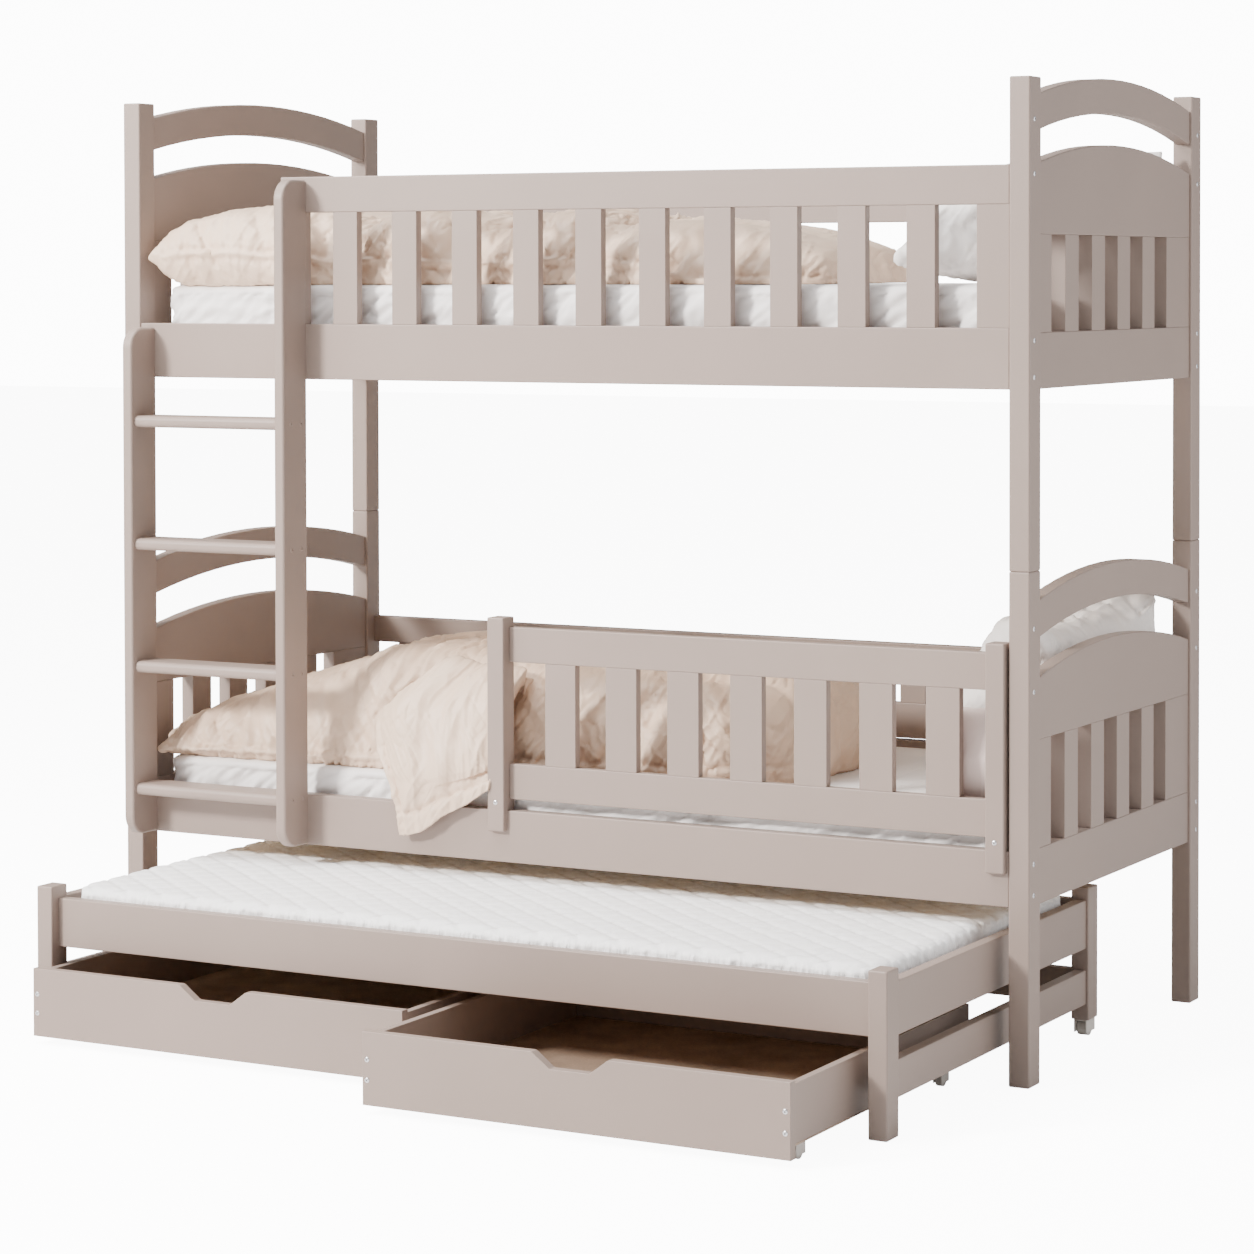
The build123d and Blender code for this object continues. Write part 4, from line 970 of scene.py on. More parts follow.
def screw_tree(name, finish):
    """A tree that sets a screw on points with a turn and a size, each turned about itself and sunk."""
    tree = bpy.data.node_groups.new(name, "GeometryNodeTree")
    tree.interface.new_socket("Geometry", in_out="INPUT", socket_type="NodeSocketGeometry")
    tree.interface.new_socket("Geometry", in_out="OUTPUT", socket_type="NodeSocketGeometry")
    screw = tree.interface.new_socket("Screw", in_out="INPUT", socket_type="NodeSocketObject")
    sink = tree.interface.new_socket("Sink", in_out="INPUT", socket_type="NodeSocketFloat")
    seed = tree.interface.new_socket("Seed", in_out="INPUT", socket_type="NodeSocketInt")
    sink.default_value, seed.default_value = HEAD_SINK, TURN_SEED
    entry = add_node(tree, "NodeGroupInput")
    info = add_node(tree, "GeometryNodeObjectInfo", links={"Object": entry.outputs["Screw"]})
    turns = add_node(tree, "GeometryNodeInputNamedAttribute", {"data_type": "FLOAT_VECTOR"}, {"Name": "turn"})
    sizes = add_node(tree, "GeometryNodeInputNamedAttribute", {"data_type": "FLOAT"}, {"Name": "size"})
    rotation = add_node(tree, "FunctionNodeEulerToRotation", links={"Euler": turns.outputs["Attribute"]})
    spin = add_node(
        tree, "FunctionNodeRandomValue", {"data_type": "FLOAT"}, links={"Seed": entry.outputs["Seed"]})
    angle = add_node(tree, "ShaderNodeMath", {"operation": "MULTIPLY"}, {1: math.pi}, {0: spin.outputs[1]})
    own = add_node(tree, "ShaderNodeCombineXYZ", links={"Z": angle.outputs["Value"]})
    own_turn = add_node(tree, "FunctionNodeEulerToRotation", links={"Euler": own.outputs["Vector"]})
    both = add_node(
        tree, "FunctionNodeRotateRotation", {"rotation_space": "LOCAL"},
        links={"Rotation": rotation.outputs["Rotation"], "Rotate By": own_turn.outputs["Rotation"]})
    put = add_node(tree, "GeometryNodeInstanceOnPoints", links={
        "Points": entry.outputs["Geometry"], "Instance": info.outputs["Geometry"],
        "Rotation": both.outputs["Rotation"], "Scale": sizes.outputs["Attribute"]})
    drop = add_node(tree, "ShaderNodeMath", {"operation": "MULTIPLY"}, {1: -1.0}, {0: entry.outputs["Sink"]})
    down = add_node(tree, "ShaderNodeCombineXYZ", links={"Z": drop.outputs["Value"]})
    lowered = add_node(tree, "GeometryNodeTranslateInstances", links={
        "Instances": put.outputs["Instances"], "Translation": down.outputs["Vector"]})
    real = add_node(tree, "GeometryNodeRealizeInstances", links={"Geometry": lowered.outputs["Instances"]})
    coat = add_node(
        tree, "GeometryNodeSetMaterial", values={"Material": material(finish)},
        links={"Geometry": real.outputs["Geometry"]})
    add_node(tree, "NodeGroupOutput", links={"Geometry": coat.outputs["Geometry"]})
    return tree, screw.identifier


def screws_on(name, node, sides, socket_share, finish):
    """Screw heads at every screw of a CAD node, made by one tree and turned into one mesh."""
    places = [screw_place(group) for group in islands(frame["nodes"][node].data)]
    points = bpy.data.meshes.new(name + " places")
    points.from_pydata([tuple(tip) for tip, way, radius in places], [], [])
    points.attributes.new("turn", "FLOAT_VECTOR", "POINT")
    points.attributes.new("size", "FLOAT", "POINT")
    for i, (tip, way, radius) in enumerate(places):
        points.attributes["turn"].data[i].vector = way.to_track_quat("Z", "Y").to_euler()
        points.attributes["size"].data[i].value = radius
    shape = mesh_object(name + " shape", *screw_mesh(sides, socket_share), finish, smooth=False)
    holder = bpy.data.objects.new(name, points)
    bpy.context.scene.collection.objects.link(holder)
    tree, screw_input = screw_tree(name + " tree", finish)
    modifier = holder.modifiers.new("screws", "NODES")
    modifier.node_group = tree
    modifier[screw_input] = shape
    applied(holder)
    finish_mesh(holder.data, finish)
    bpy.data.objects.remove(shape)
    return holder


class BUNKBED_OT_hardware(bpy.types.Operator):
    """Sets the screws in the posts, the ladder and the drawers, and finishes brackets and wheels"""

    bl_idname = "bunkbed.hardware"
    bl_label = "Hardware"

    def execute(self, context):
        sizes = context.scene.bunk_hardware
        finish_nodes(PLASTIC)
        for node, finish in SCREWS.items():
            screws = screws_on(f"{node}_heads", node, sizes.head_sides, sizes.socket_share, finish)
            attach(screws, body_of(node))
            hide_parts(node)
        return {"FINISHED"}


# Mesh size of a sheet and of the low mattress's cover before their last subdivision
SHEET_STEP, COVER_STEP = 11 * MM, 9 * MM


def rounded_slab(name, low, high, finish, step):
    """A mattress as an even grid on a box with round corners and edges."""
    sizes = [high[i] - low[i] for i in range(3)]
    centre = np.array([(low[i] + high[i]) / 2 for i in range(3)])
    mesh = bpy.data.meshes.new(name)
    with reworked(mesh) as work:
        bmesh.ops.create_cube(work, size=1.0)
    set_points(mesh, points_of(mesh) * np.array(sizes) + centre)
    obj = bpy.data.objects.new(name, mesh)
    bpy.context.scene.collection.objects.link(obj)
    with reworked(mesh) as work:
        upright = [e for e in work.edges if abs(e.verts[0].co.z - e.verts[1].co.z) > sizes[2] / 2]
        bmesh.ops.bevel(work, geom=upright, offset=MATTRESS_CORNER, segments=8, affect="EDGES", profile=0.5)
        rims = [e for e in work.edges if e.calc_face_angle(0.0) > math.radians(60)]
        bmesh.ops.bevel(work, geom=rims, offset=MATTRESS_EDGE, segments=5, affect="EDGES", profile=0.5)
    remeshed(obj, step)
    finish_mesh(obj.data, finish)
    return obj


def crown(points, low, high, rise):
    """How far a mattress's top stands up at each point, fading to its edges."""
    across = np.clip((points[:, 1] - low[1]) / (high[1] - low[1]), 0, 1)
    along = np.clip((points[:, 0] - low[0]) / (high[0] - low[0]), 0, 1)
    return rise * (1 - (2 * across - 1) ** 2) * (1 - (2 * along - 1) ** 8)


# Slack folds in a sheet's side: width and length in mm, how much they rise to the right, depth in mm
SIDE_FOLDS = ((60, 230, 0.5, 11.0), (34, 150, 0.75, 9.0), (19, 90, 0.9, 5.0))


def draped(obj, seed):
    """Slack folds that rise to the right in a sheet's side."""
    points = points_of(obj.data)
    side = np.clip(1 - np.abs(normals_of(obj.data)[:, 2]) * 1.3, 0, 1)
    push = np.zeros(len(points))
    for turn, (across, along, lean, deep) in enumerate(SIDE_FOLDS):
        bend = swells(points, 0.12, seed + turn) * 12 * MM
        rise = points[:, 2] - lean * points[:, 0] + bend
        run = points[:, 0] + points[:, 1] + lean * points[:, 2]
        place = on_cloth(rise / (across * MM), run / (along * MM))
        fold = 1 - np.minimum(1, 2.0 * np.abs(lattice(place, seed + 3 * turn)))
        push -= deep * MM * fold ** 2 * (0.3 + 0.7 * patches(points, 0.2, seed + 20 + turn))
    pushed(obj, side * push)


# Creases of a sheet: size in metres, how much they bend, and their stretch along each axis
SHEET_DRAG = 0.11, 1.1, (0.35, 0.35, 1.9)
SHEET_GATHER = 0.05, 0.6, (1.0, 1.0, 0.35)
SHEET_TOP = 0.16, 1.6, (1.0, 0.8, 1.0)


def sheeted_mattress(bunk, seed):
    """A mattress in a fitted sheet, with slack folds along its sides and over its top."""
    node = f"{bunk}_mattress"
    low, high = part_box(node)
    inner_high = (high[0], high[1], high[2] - SHEET_GAP)
    obj = rounded_slab(node + "_sheet", low, inner_high, "sheet cotton", SHEET_STEP)
    points = points_of(obj.data)
    normals = normals_of(obj.data)
    up = np.clip(normals[:, 2], 0, 1)
    side = np.clip(1 - np.abs(normals[:, 2]) * 1.5, 0, 1)
    height = (points[:, 2] - low[2]) / (inner_high[2] - low[2])
    drag = creases(points, *SHEET_DRAG, seed)
    gather = creases(points, *SHEET_GATHER, seed + 2)
    flat = creases(points, *SHEET_TOP, seed + 5)
    away = -side * (drag ** 2 * 4.0 * MM + gather ** 2 * 3.0 * MM * np.clip(1 - height * 2.2, 0, 1))
    moved = points + normals * away[:, None]
    moved[:, 2] += up * (crown(points, low, inner_high, SHEET_CROWN) - flat ** 2 * 1.2 * MM)
    moved[:, 2] = np.maximum(moved[:, 2], low[2])
    set_points(obj.data, moved)
    refined(obj)
    draped(obj, seed + 7)
    points = points_of(obj.data)
    points[:, 2] = np.maximum(points[:, 2], low[2])
    set_points(obj.data, points)
    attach(obj, "bed")
    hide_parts(node)


class BUNKBED_OT_mattresses(bpy.types.Operator):
    """Makes the sheeted mattresses of the two bunks"""

    bl_idname = "bunkbed.mattresses"
    bl_label = "Mattresses"

    def execute(self, context):
        for seed, bunk in enumerate(("upper", "lower")):
            sheeted_mattress(bunk, seed + 1)
        return {"FINISHED"}


def diamonds(points, width, slope):
    """How far each point is from the sewn lines of the quilting: 0 on a line and 1 inside a diamond."""
    share = np.ones(len(points))
    for turn, way in enumerate((1, -1)):
        drift = swells(points, 0.16, 21 + turn) * 5 * MM + swells(points, 0.05, 31 + turn) * 1.6 * MM
        run = points[:, 0] + way * slope * points[:, 1] + drift
        off = np.abs((run + width / 2) % width - width / 2)
        near = np.clip(off / (17 * MM), 0, 1)
        share *= near * (2 - near)
    return share


# Creases of the low mattress's cover, as a sheet's are given: gathers down its sides, and tucks on top
COVER_GATHER = 0.024, 0.5, (1.3, 1.3, 0.22)
COVER_FINE = 0.013, 0.5, (1.3, 1.3, 0.3)
COVER_TUCK = 0.05, 0.9, (1.0, 1.0, 1.0)
GATHER_DEPTH, TUCK_DEPTH = 4.6 * MM, 1.6 * MM
# How far the cover's slab stays below the CAD top, its crown and its slack
COVER_GAP, COVER_CROWN, COVER_SLACK = 6 * MM, 3.0 * MM, 1.6 * MM


class BUNKBED_OT_low_mattress(bpy.types.Operator):
    """Makes the low bed's mattress with its quilted diamonds and gathered sides"""

    bl_idname = "bunkbed.low_mattress"
    bl_label = "Quilted mattress"

    def execute(self, context):
        sizes = context.scene.bunk_bedding
        low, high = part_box("trundle_mattress")
        inner_high = (high[0], high[1], high[2] - COVER_GAP)
        obj = rounded_slab("trundle_mattress_cover", low, inner_high, "quilted knit", COVER_STEP)
        points = points_of(obj.data)
        normals = normals_of(obj.data)
        up = np.clip(normals[:, 2] * 1.6 - 0.6, 0, 1)
        slack = swells(points, 0.22, 2) * COVER_SLACK
        points[:, 2] += up * (crown(points, low, inner_high, COVER_CROWN) + slack)
        set_points(obj.data, points)
        refined(obj)
        points = points_of(obj.data)
        normals = normals_of(obj.data)
        up = np.clip(normals[:, 2] * 1.6 - 0.6, 0, 1)
        side = np.clip(1 - np.abs(normals[:, 2]) * 1.2, 0, 1)
        puff = diamonds(points, sizes.diamond, sizes.diamond_slope)
        # The puff attribute also sets the painted shade in the knit's sewn hollows; the sides get none
        hollow_shade_attribute = obj.data.attributes.new("puff", "FLOAT", "POINT")
        hollow_shade_attribute.data.foreach_set("value", puff * up + (1 - up))
        edge = obj.data.attributes.new("gather", "FLOAT", "POINT")
        edge.data.foreach_set("value", np.clip(side * 1.4, 0, 1))
        gather = creases(points, *COVER_GATHER, 4) ** 2 + 0.6 * creases(points, *COVER_FINE, 8) ** 2
        tuck = creases(points, *COVER_TUCK, 14) ** 3 * patches(points, 0.12, 15)
        push = up * ((puff - 0.75) * sizes.diamond_rise - TUCK_DEPTH * tuck) - side * gather * GATHER_DEPTH
        moved = points + normals * push[:, None]
        moved[:, 2] = np.clip(moved[:, 2], low[2], high[2] + 4 * MM)
        set_points(obj.data, moved)
        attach(obj, "trundle")
        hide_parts("trundle_mattress")
        return {"FINISHED"}


def calmness(places, shares):
    """A function of points that gives how rumpled a quilt is there, from places along the bed in mm."""
    return lambda points: np.interp((points[:, 0] - POST_LEFT) / MM, places, shares)


# How far apart a quilt's soft folds are, how far its filling may push its cover, and its wrinkles' height
RUMPLE_SIZE, QUILT_SWELL, QUILT_WRINKLE = 120 * MM, 16 * MM, 5.6 * MM


def dress_quilt(obj, node, table, floor_z, seed, folds, amount, calm):
    """Rumples, fills and finishes a quilt, which is smoother at some places along the bed."""
    sizes = bpy.context.scene.bunk_bedding
    remeshed(obj, sizes.quilt_voxel)
    finish_mesh(obj.data, "quilt cotton")
    rumple(obj, amount, RUMPLE_SIZE, seed, floor_z, calm)
    pinned = points_of(obj.data)[:, 2] < floor_z + 4 * MM
    inflated(obj, sizes.pressure, QUILT_SWELL, pinned)
    pressed_folds(obj, folds)
    refined(obj)
    gathered_seam(obj, table, floor_z, seed)
    wrinkled(obj, QUILT_WRINKLE, seed + 2, calm=calm(points_of(obj.data)))
    kept_above(obj, node.split("_")[0])
    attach(obj, "bed")
    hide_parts(node)


# The turned-over corner: its left edge and its right edge from the ridge down, and its hem
FLAP_LEFT = (
    (628, 205, 626), (640, 84, 634), (606, 56, 596), (563, 24, 545), (577, 8, 489), (612, -14, 440),
    (628, -18, 392), (638, -18, 342))
FLAP_RIGHT = (
    (840, 220, 608), (838, 100, 624), (836, 52, 586), (834, 34, 540), (832, 26, 500), (830, 22, 470),
    (828, -12, 452), (826, -14, 437))
FLAP_HEM = ((0.0, 342), (0.10, 343), (0.26, 353), (0.48, 382), (0.76, 408), (1.0, 437))
# The corner's mesh, its rough size, and the thickness of its outer and its inner half
FLAP_ACROSS, FLAP_DOWN = 120, 200
FLAP_WIDTH, FLAP_LENGTH = 190 * MM, 330 * MM
FLAP_OUTER, FLAP_INNER, FLAP_THINNEST = 23 * MM, 7 * MM, 3.6 * MM
# Flat sewn bands along the corner's hem and its left edge, and how far apart their gathers are
HEM_BAND, SIDE_BAND, GATHER_PITCH = 27 * MM, 12 * MM, 13 * MM
# How deep the gathers are at the hem and at the left edge, and how deep and wide the sewn groove is
HEM_GATHER, SIDE_GATHER = 5.0 * MM, 3.4 * MM
STITCH_DEPTH, STITCH_WIDTH = 3.4 * MM, 3.2 * MM
# How far off its bands the corner is fully thick, and how far it sways
FLAP_FULL, FLAP_DRAPE = 36 * MM, 13 * MM
# Pleats down the corner: how many across it, how far they slant, and how deep they are in mm
FLAP_PLEATS = ((5.5, 2.2, 7.0), (8.0, -1.4, 4.4), (15.0, 2.0, 1.8))


def even_line(points, count):
    """Points at even steps along a smooth line through given ones."""
    row = np.array(points, dtype=float)
    lengths = np.concatenate([[0], np.cumsum(np.linalg.norm(np.diff(row, axis=0), axis=1))])
    table = [(at, *point) for at, point in zip(lengths, row)]
    return smooth_line(table, count)[1]


def corner_sheet(s_share, t_share):
    """The middle layer of the turned corner and its normals, at shares across it and down it."""
    left, right = even_line(FLAP_LEFT, len(t_share)), even_line(FLAP_RIGHT, len(t_share))
    hem = np.interp(s_share, [row[0] for row in FLAP_HEM], [row[1] for row in FLAP_HEM])
    sheet = left[:, None, :] + (right - left)[:, None, :] * s_share[None, :, None]
    straight = left[-1, 2] + (right[-1, 2] - left[-1, 2]) * s_share
    sheet[:, :, 2] += (t_share ** 5)[:, None] * (hem - straight)[None, :]
    bow = np.sin(math.pi * s_share)[None, :] ** 0.7 * np.clip(1 - t_share ** 3, 0, 1)[:, None]
    sheet[:, :, 1] -= 12 * bow * np.clip(t_share * 3, 0, 1)[:, None]
    sheet[:, :, 2] += 8 * bow * np.clip(1.4 - 1.8 * t_share, 0, 1)[:, None]
    grid = sheet * MM + np.array(bed_place(0, 0, 0))
    normal = np.cross(np.gradient(grid, axis=1), np.gradient(grid, axis=0)).reshape(-1, 3)
    normal /= np.linalg.norm(normal, axis=1, keepdims=True)
    return grid.reshape(-1, 3), normal * -np.sign(normal[:, 1:2] + 1e-9)


def corner_layers(s_share, t_share):
    """How far the outer and the inner cover of the turned corner stand off its middle layer."""
    s_all, t_all = np.tile(s_share, len(t_share)), np.repeat(t_share, len(s_share))
    from_hem, from_left = (1 - t_all) * FLAP_LENGTH, s_all * FLAP_WIDTH
    side_band = SIDE_BAND * np.clip((t_all - 0.4) / 0.25, 0, 1)
    edge = np.clip(np.minimum(from_hem - HEM_BAND, from_left - side_band), 0, None)
    full = np.clip(edge / FLAP_FULL, 0, 1) ** 0.5
    drape = lattice(on_cloth(s_all * 4.2 + t_all * 1.3, t_all * 1.5 - s_all * 0.6), 31) * FLAP_DRAPE
    for turn, (cells, slope, deep) in enumerate(FLAP_PLEATS):
        pleat = on_cloth(s_all * cells + t_all * slope, t_all * 2.6 + s_all)
        share = np.clip(lattice(pleat * 0.32 + 9.1, 35 + turn) * 1.6 + 0.5, 0, 1)
        drape += (1 - np.minimum(1, 2.2 * np.abs(lattice(pleat, 51 + turn)))) ** 2 * deep * MM * share
    drape *= np.clip(1.15 - t_all * 0.5, 0, 1) * np.clip(edge / (26 * MM) + 0.25, 0.25, 1)
    hem_wave = on_cloth(from_left / GATHER_PITCH, from_hem / (70 * MM))
    gather = lattice(hem_wave, 41) * HEM_GATHER * np.exp(-((from_hem - 0.6 * HEM_BAND) / (20 * MM)) ** 2)
    side_wave = on_cloth(t_all * FLAP_LENGTH / GATHER_PITCH, from_left / (60 * MM))
    gather += lattice(side_wave, 42) * SIDE_GATHER * np.exp(-(from_left / (26 * MM)) ** 2)
    beside = np.abs(from_left - side_band) + 1.0 * (side_band < 0.9 * SIDE_BAND)
    sewn = np.minimum(np.abs(from_hem - HEM_BAND), beside)
    stitch = np.exp(-(sewn / STITCH_WIDTH) ** 2) * STITCH_DEPTH
    return [
        side * (np.maximum(FLAP_THINNEST, thick * full) - stitch) + drape + gather
        for side, thick in ((1, FLAP_OUTER), (-1, FLAP_INNER))]


def turned_corner():
    """The quilt's corner turned over the front rail: two covers sewn round their edge and filled."""
    s_share, t_share = np.linspace(0, 1, FLAP_ACROSS + 1), np.linspace(0, 1, FLAP_DOWN + 1)
    sheet, normal = corner_sheet(s_share, t_share)
    points = np.concatenate([sheet + normal * off[:, None] for off in corner_layers(s_share, t_share)])
    row = FLAP_ACROSS + 1
    layer = row * (FLAP_DOWN + 1)
    faces = []
    for offset, turned in ((0, False), (layer, True)):
        for i in range(FLAP_DOWN):
            for j in range(FLAP_ACROSS):
                a = offset + i * row + j
                quad = (a, a + 1, a + row + 1, a + row)
                faces.append(tuple(reversed(quad)) if turned else quad)
    rim = list(range(row)) + [i * row + FLAP_ACROSS for i in range(1, FLAP_DOWN + 1)]
    rim += [FLAP_DOWN * row + j for j in range(FLAP_ACROSS - 1, -1, -1)]
    rim += [i * row for i in range(FLAP_DOWN - 1, 0, -1)]
    for a, b in zip(rim, rim[1:] + rim[:1]):
        faces.append((b, a, a + layer, b + layer))
    obj = mesh_object("lower_quilt_corner", points, faces, "quilt cotton")
    with reworked(obj.data) as work:
        bmesh.ops.recalc_face_normals(work, faces=work.faces)
    wrinkled(obj, 2.0 * MM, 70, 52 * MM)
    points = points_of(obj.data)
    rail_low, rail_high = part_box("lower_front_rail")
    hanging = points[:, 2] < rail_high[2] + 4 * MM
    points[hanging, 1] = np.minimum(points[hanging, 1], rail_low[1] - 1.0 * MM)
    set_points(obj.data, points)
    return obj


class BUNKBED_OT_quilts(bpy.types.Operator):
    """Makes the rumpled quilts of the two bunks"""

    bl_idname = "bunkbed.quilts"
    bl_label = "Quilts"

    def execute(self, context):
        upper_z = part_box("upper_quilt")[0][2]
        upper = quilt_form("upper_quilt_cover", UPPER_QUILT, upper_z / MM, UPPER_CREST, 2)
        dress_quilt(
            upper, "upper_quilt", UPPER_QUILT, upper_z, 2, UPPER_FOLDS, 11 * MM, calmness(*UPPER_CALM))
        lower_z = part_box("lower_mattress")[1][2] + QUILT_GAP
        lower = quilt_form("lower_quilt_cover", LOWER_QUILT, lower_z / MM, LOWER_CREST, 5)
        dress_quilt(
            lower, "lower_quilt", LOWER_QUILT, lower_z, 5, LOWER_FOLDS, 10 * MM, calmness(*LOWER_CALM))
        corner = turned_corner()
        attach(corner, "bed")
        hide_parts("lower_quilt")
        return {"FINISHED"}


# How far a pillow's filling may push its cover, how long it pushes, and how plump the cover starts
PILLOW_SWELL, PILLOW_FRAMES, PILLOW_START = 60 * MM, 24, 0.62


def blown_pillow(name, length, width, thickness, finish, seed):
    """A pillow lying flat round the origin: two layers sewn together, blown up by its filling."""
    sizes = bpy.context.scene.bunk_bedding
    step = sizes.pillow_voxel
    count_x, count_y = int(width / step), int(length / step)
    points, faces = [], []
    plump = PILLOW_START
    for layer in (1, -1):
        for i in range(count_x + 1):
            for j in range(count_y + 1):
                a, b = 2 * i / count_x - 1, 2 * j / count_y - 1
                pull = 1 - 0.07 * (1 - b * b) * abs(a) ** 3, 1 - 0.05 * (1 - a * a) * abs(b) ** 3
                x = width / 2 * a * pull[0]
                y = length / 2 * b * pull[1]
                full = ((1 - a * a) * (1 - b * b)) ** 0.36
                points.append((x, y, layer * thickness / 2 * full * plump))
    row = count_y + 1
    layer_size = (count_x + 1) * row
    for layer in (0, 1):
        for i in range(count_x):
            for j in range(count_y):
                a = layer * layer_size + i * row + j
                quad = (a, a + row, a + row + 1, a + 1)
                faces.append(quad if layer == 0 else tuple(reversed(quad)))
    obj = mesh_object(name, points, faces, finish)
    with reworked(obj.data) as work:
        bmesh.ops.remove_doubles(work, verts=work.verts, dist=0.05 * MM)
    points = points_of(obj.data)
    fold = creases(points, 0.10, 1.2, (1.0, 1.0, 1.0), seed)
    lift = np.sign(points[:, 2]) * (fold ** 2) * -3.0 * MM
    points[:, 2] += lift * np.clip(np.abs(points[:, 2]) / (12 * MM), 0, 1)
    set_points(obj.data, points)
    nothing = np.zeros(len(points), dtype=bool)
    inflated(obj, sizes.pressure, PILLOW_SWELL, nothing, PILLOW_FRAMES, grow=0.0)
    return obj


def fit_to(obj, node, lean, slump, turn=None):
    """Lays a pillow in the place of its CAD solid: leaned, slumped and scaled to that solid's box."""
    low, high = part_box(node)
    points = points_of(obj.data)
    if turn is not None:
        points = points @ np.array(turn.to_matrix()).T
    else:
        y_share = (points[:, 1] - points[:, 1].min()) / np.ptp(points[:, 1])
        angle = np.radians(lean[0] + y_share * (lean[1] - lean[0]))
        x = points[:, 0].copy()
        half = np.ptp(x) / 2
        z = points[:, 2] - slump * (1 - (x / half) ** 2)
        points[:, 0] = (x - half) * np.cos(angle) - z * np.sin(angle)
        points[:, 2] = (x + half) * np.sin(angle) + z * np.cos(angle)
    mins, maxs = points.min(axis=0), points.max(axis=0)
    low, high = np.array(low), np.array(high)
    set_points(obj.data, (points - mins) / (maxs - mins) * (high - low) + low)


# Pillows: node, length, width and thickness in mm, finish, slot, lean at both ends in degrees, slump
PILLOWS = (
    ("upper_pillow", 640, 340, 170, "pillow cotton", "pillow_cotton", (24, 50), 4 * MM),
    ("lower_pillow", 640, 440, 190, "pillow cotton", "pillow_cotton", (54, 58), 12 * MM),
    ("small_pillow", 190, 165, 110, "small pillow cotton", "small_pillow_cotton", None, 0.0),
)


class BUNKBED_OT_pillows(bpy.types.Operator):
    """Makes the three pillows"""

    bl_idname = "bunkbed.pillows"
    bl_label = "Pillows"

    def execute(self, context):
        for seed, (node, length, width, thickness, finish, slot, lean, slump) in enumerate(PILLOWS):
            obj = blown_pillow(f"{node}_cover", length * MM, width * MM, thickness * MM, finish, seed + 1)
            turn = None if lean else Matrix.Rotation(math.pi / 2, 3, "X").to_quaternion()
            fit_to(obj, node, lean, slump, turn)
            refined(obj)
            wrinkled(obj, (2.4 if turn else 5.0) * MM, seed + 60, 66 * MM)
            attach(obj, "bed")
            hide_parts(node)
        return {"FINISHED"}


# Half the floor's width in metres, and how far it lies under the bed's feet
FLOOR_HALF, FLOOR_GAP = 30.0, 0.4 * MM
# Studio lights: place and target in metres, size in metres, watts and colour
LIGHTS = (
    ("key", (-3.2, -5.2, 3.7), (0.0, 0.0, 0.8), 1.1, 900.0, (1.0, 0.965, 0.925)),
    ("overhead", (-1.3, -1.4, 5.0), (0.0, -0.2, 0.0), 3.2, 420.0, (1.0, 1.0, 1.0)),
    ("side", (2.5, 0.5, 1.3), (0.9, 0.0, 0.9), 1.8, 26.0, (1.0, 1.0, 1.0)),
)
# Camera place in mm off the left post's outer face, the bed's front and the floor
CAMERA_X, CAMERA_Y, CAMERA_Z = 4130.2, -5518.8, 1373.7
CAMERA_PITCH, CAMERA_ROLL = math.radians(-1.5), math.radians(-0.1)
CAMERA_SHIFT_X, CAMERA_SHIFT_Y = -0.0050, -0.2057


def area_light(name, place, target, size, power, colour):
    """A soft square light that looks at a point."""
    data = bpy.data.lights.new(name, "AREA")
    data.size = size
    data.energy = power
    data.color = colour
    light = bpy.data.objects.new(name, data)
    light.location = place
    light.rotation_euler = (Vector(target) - Vector(place)).to_track_quat("-Z", "Y").to_euler()
    bpy.context.scene.collection.objects.link(light)


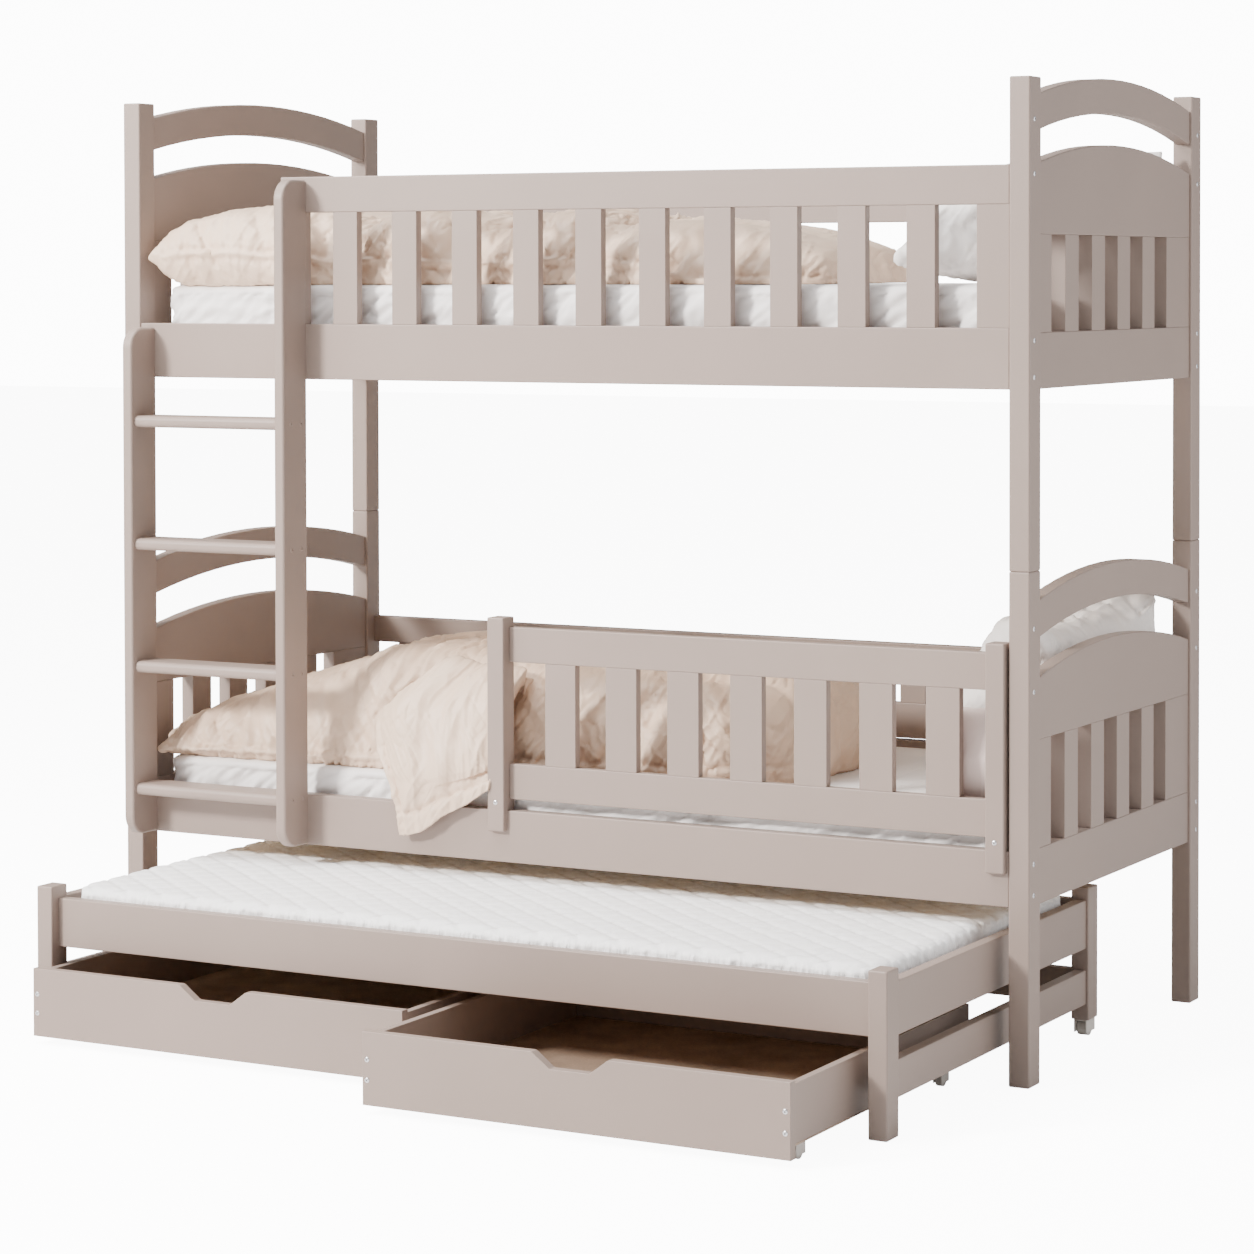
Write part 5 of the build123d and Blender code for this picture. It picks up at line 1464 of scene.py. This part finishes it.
class BUNKBED_OT_stage(bpy.types.Operator):
    """Sets the pale floor, the studio lights and the camera"""

    bl_idname = "bunkbed.stage"
    bl_label = "Stage"

    def execute(self, context):
        scene = context.scene
        sizes = scene.bunk_stage
        finish, tree, shader = new_material("pale studio floor")
        shader.inputs["Base Color"].default_value = linear("#FBFAF9")
        shader.inputs["Roughness"].default_value = 0.9
        seen = add_node(tree, "ShaderNodeLightPath")
        glow = add_node(
            tree, "ShaderNodeMath", {"operation": "MULTIPLY"}, {1: sizes.floor_glow},
            {0: seen.outputs["Is Camera Ray"]})
        shader.inputs["Emission Color"].default_value = (1.0, 1.0, 1.0, 1.0)
        tree.links.new(glow.outputs["Value"], shader.inputs["Emission Strength"])
        mesh = bpy.data.meshes.new("floor")
        corners = [
            (x * FLOOR_HALF, y * FLOOR_HALF, -FLOOR_GAP) for x, y in ((-1, -1), (1, -1), (1, 1), (-1, 1))]
        mesh.from_pydata(corners, [], [(0, 1, 2, 3)])
        mesh.materials.append(finish)
        floor = bpy.data.objects.new("floor", mesh)
        scene.collection.objects.link(floor)
        world = bpy.data.worlds.new("studio")
        world.use_nodes = True
        air = world.node_tree.nodes["Background"]
        air.inputs["Color"].default_value = (1.0, 1.0, 1.0, 1.0)
        paths = add_node(world.node_tree, "ShaderNodeLightPath")
        strength = add_node(
            world.node_tree, "ShaderNodeMapRange",
            values={"To Min": sizes.air_light, "To Max": sizes.backdrop_light},
            links={"Value": paths.outputs["Is Camera Ray"]})
        world.node_tree.links.new(strength.outputs["Result"], air.inputs["Strength"])
        scene.world = world
        for light in LIGHTS:
            area_light(*light)
        camera = bpy.data.objects.new("camera", bpy.data.cameras.new("camera"))
        camera.data.lens = sizes.lens
        camera.data.sensor_width = 36.0
        camera.data.shift_x = CAMERA_SHIFT_X
        camera.data.shift_y = CAMERA_SHIFT_Y
        camera.data.clip_end = 100.0
        turn = (
            Matrix.Rotation(sizes.yaw, 4, "Z")
            @ Matrix.Rotation(math.pi / 2 + CAMERA_PITCH, 4, "X")
            @ Matrix.Rotation(CAMERA_ROLL, 4, "Z")
        )
        camera.matrix_world = Matrix.Translation(bed_place(CAMERA_X, CAMERA_Y, CAMERA_Z)) @ turn
        scene.collection.objects.link(camera)
        scene.camera = camera
        return {"FINISHED"}


class BUNKBED_PT_panel(bpy.types.Panel):
    """Lists the steps that dress the bed"""

    bl_label = "Bunk Bed"
    bl_idname = "BUNKBED_PT_panel"
    bl_space_type = "VIEW_3D"
    bl_region_type = "UI"
    bl_category = "Bunk Bed"

    def draw(self, context):
        for step in STEPS:
            self.layout.operator(step.bl_idname)


STEPS = (
    BUNKBED_OT_timber,
    BUNKBED_OT_hardware,
    BUNKBED_OT_mattresses,
    BUNKBED_OT_low_mattress,
    BUNKBED_OT_quilts,
    BUNKBED_OT_pillows,
    BUNKBED_OT_stage,
)
GROUPS = {
    "bunk_timber": TimberSizes,
    "bunk_hardware": HardwareSizes,
    "bunk_bedding": BeddingSizes,
    "bunk_stage": StageSizes,
}


def register():
    for name, group in GROUPS.items():
        bpy.utils.register_class(group)
        setattr(bpy.types.Scene, name, PointerProperty(type=group))
    for step in STEPS:
        bpy.utils.register_class(step)
    bpy.utils.register_class(BUNKBED_PT_panel)


def unregister():
    bpy.utils.unregister_class(BUNKBED_PT_panel)
    for step in reversed(STEPS):
        bpy.utils.unregister_class(step)
    for name, group in GROUPS.items():
        delattr(bpy.types.Scene, name)
        bpy.utils.unregister_class(group)


def main():
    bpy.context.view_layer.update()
    register()
    bpy.ops.bunkbed.timber()
    bpy.ops.bunkbed.hardware()
    bpy.ops.bunkbed.mattresses()
    bpy.ops.bunkbed.low_mattress()
    bpy.ops.bunkbed.quilts()
    bpy.ops.bunkbed.pillows()
    bpy.ops.bunkbed.stage()


if __name__ == "__main__":
    main()
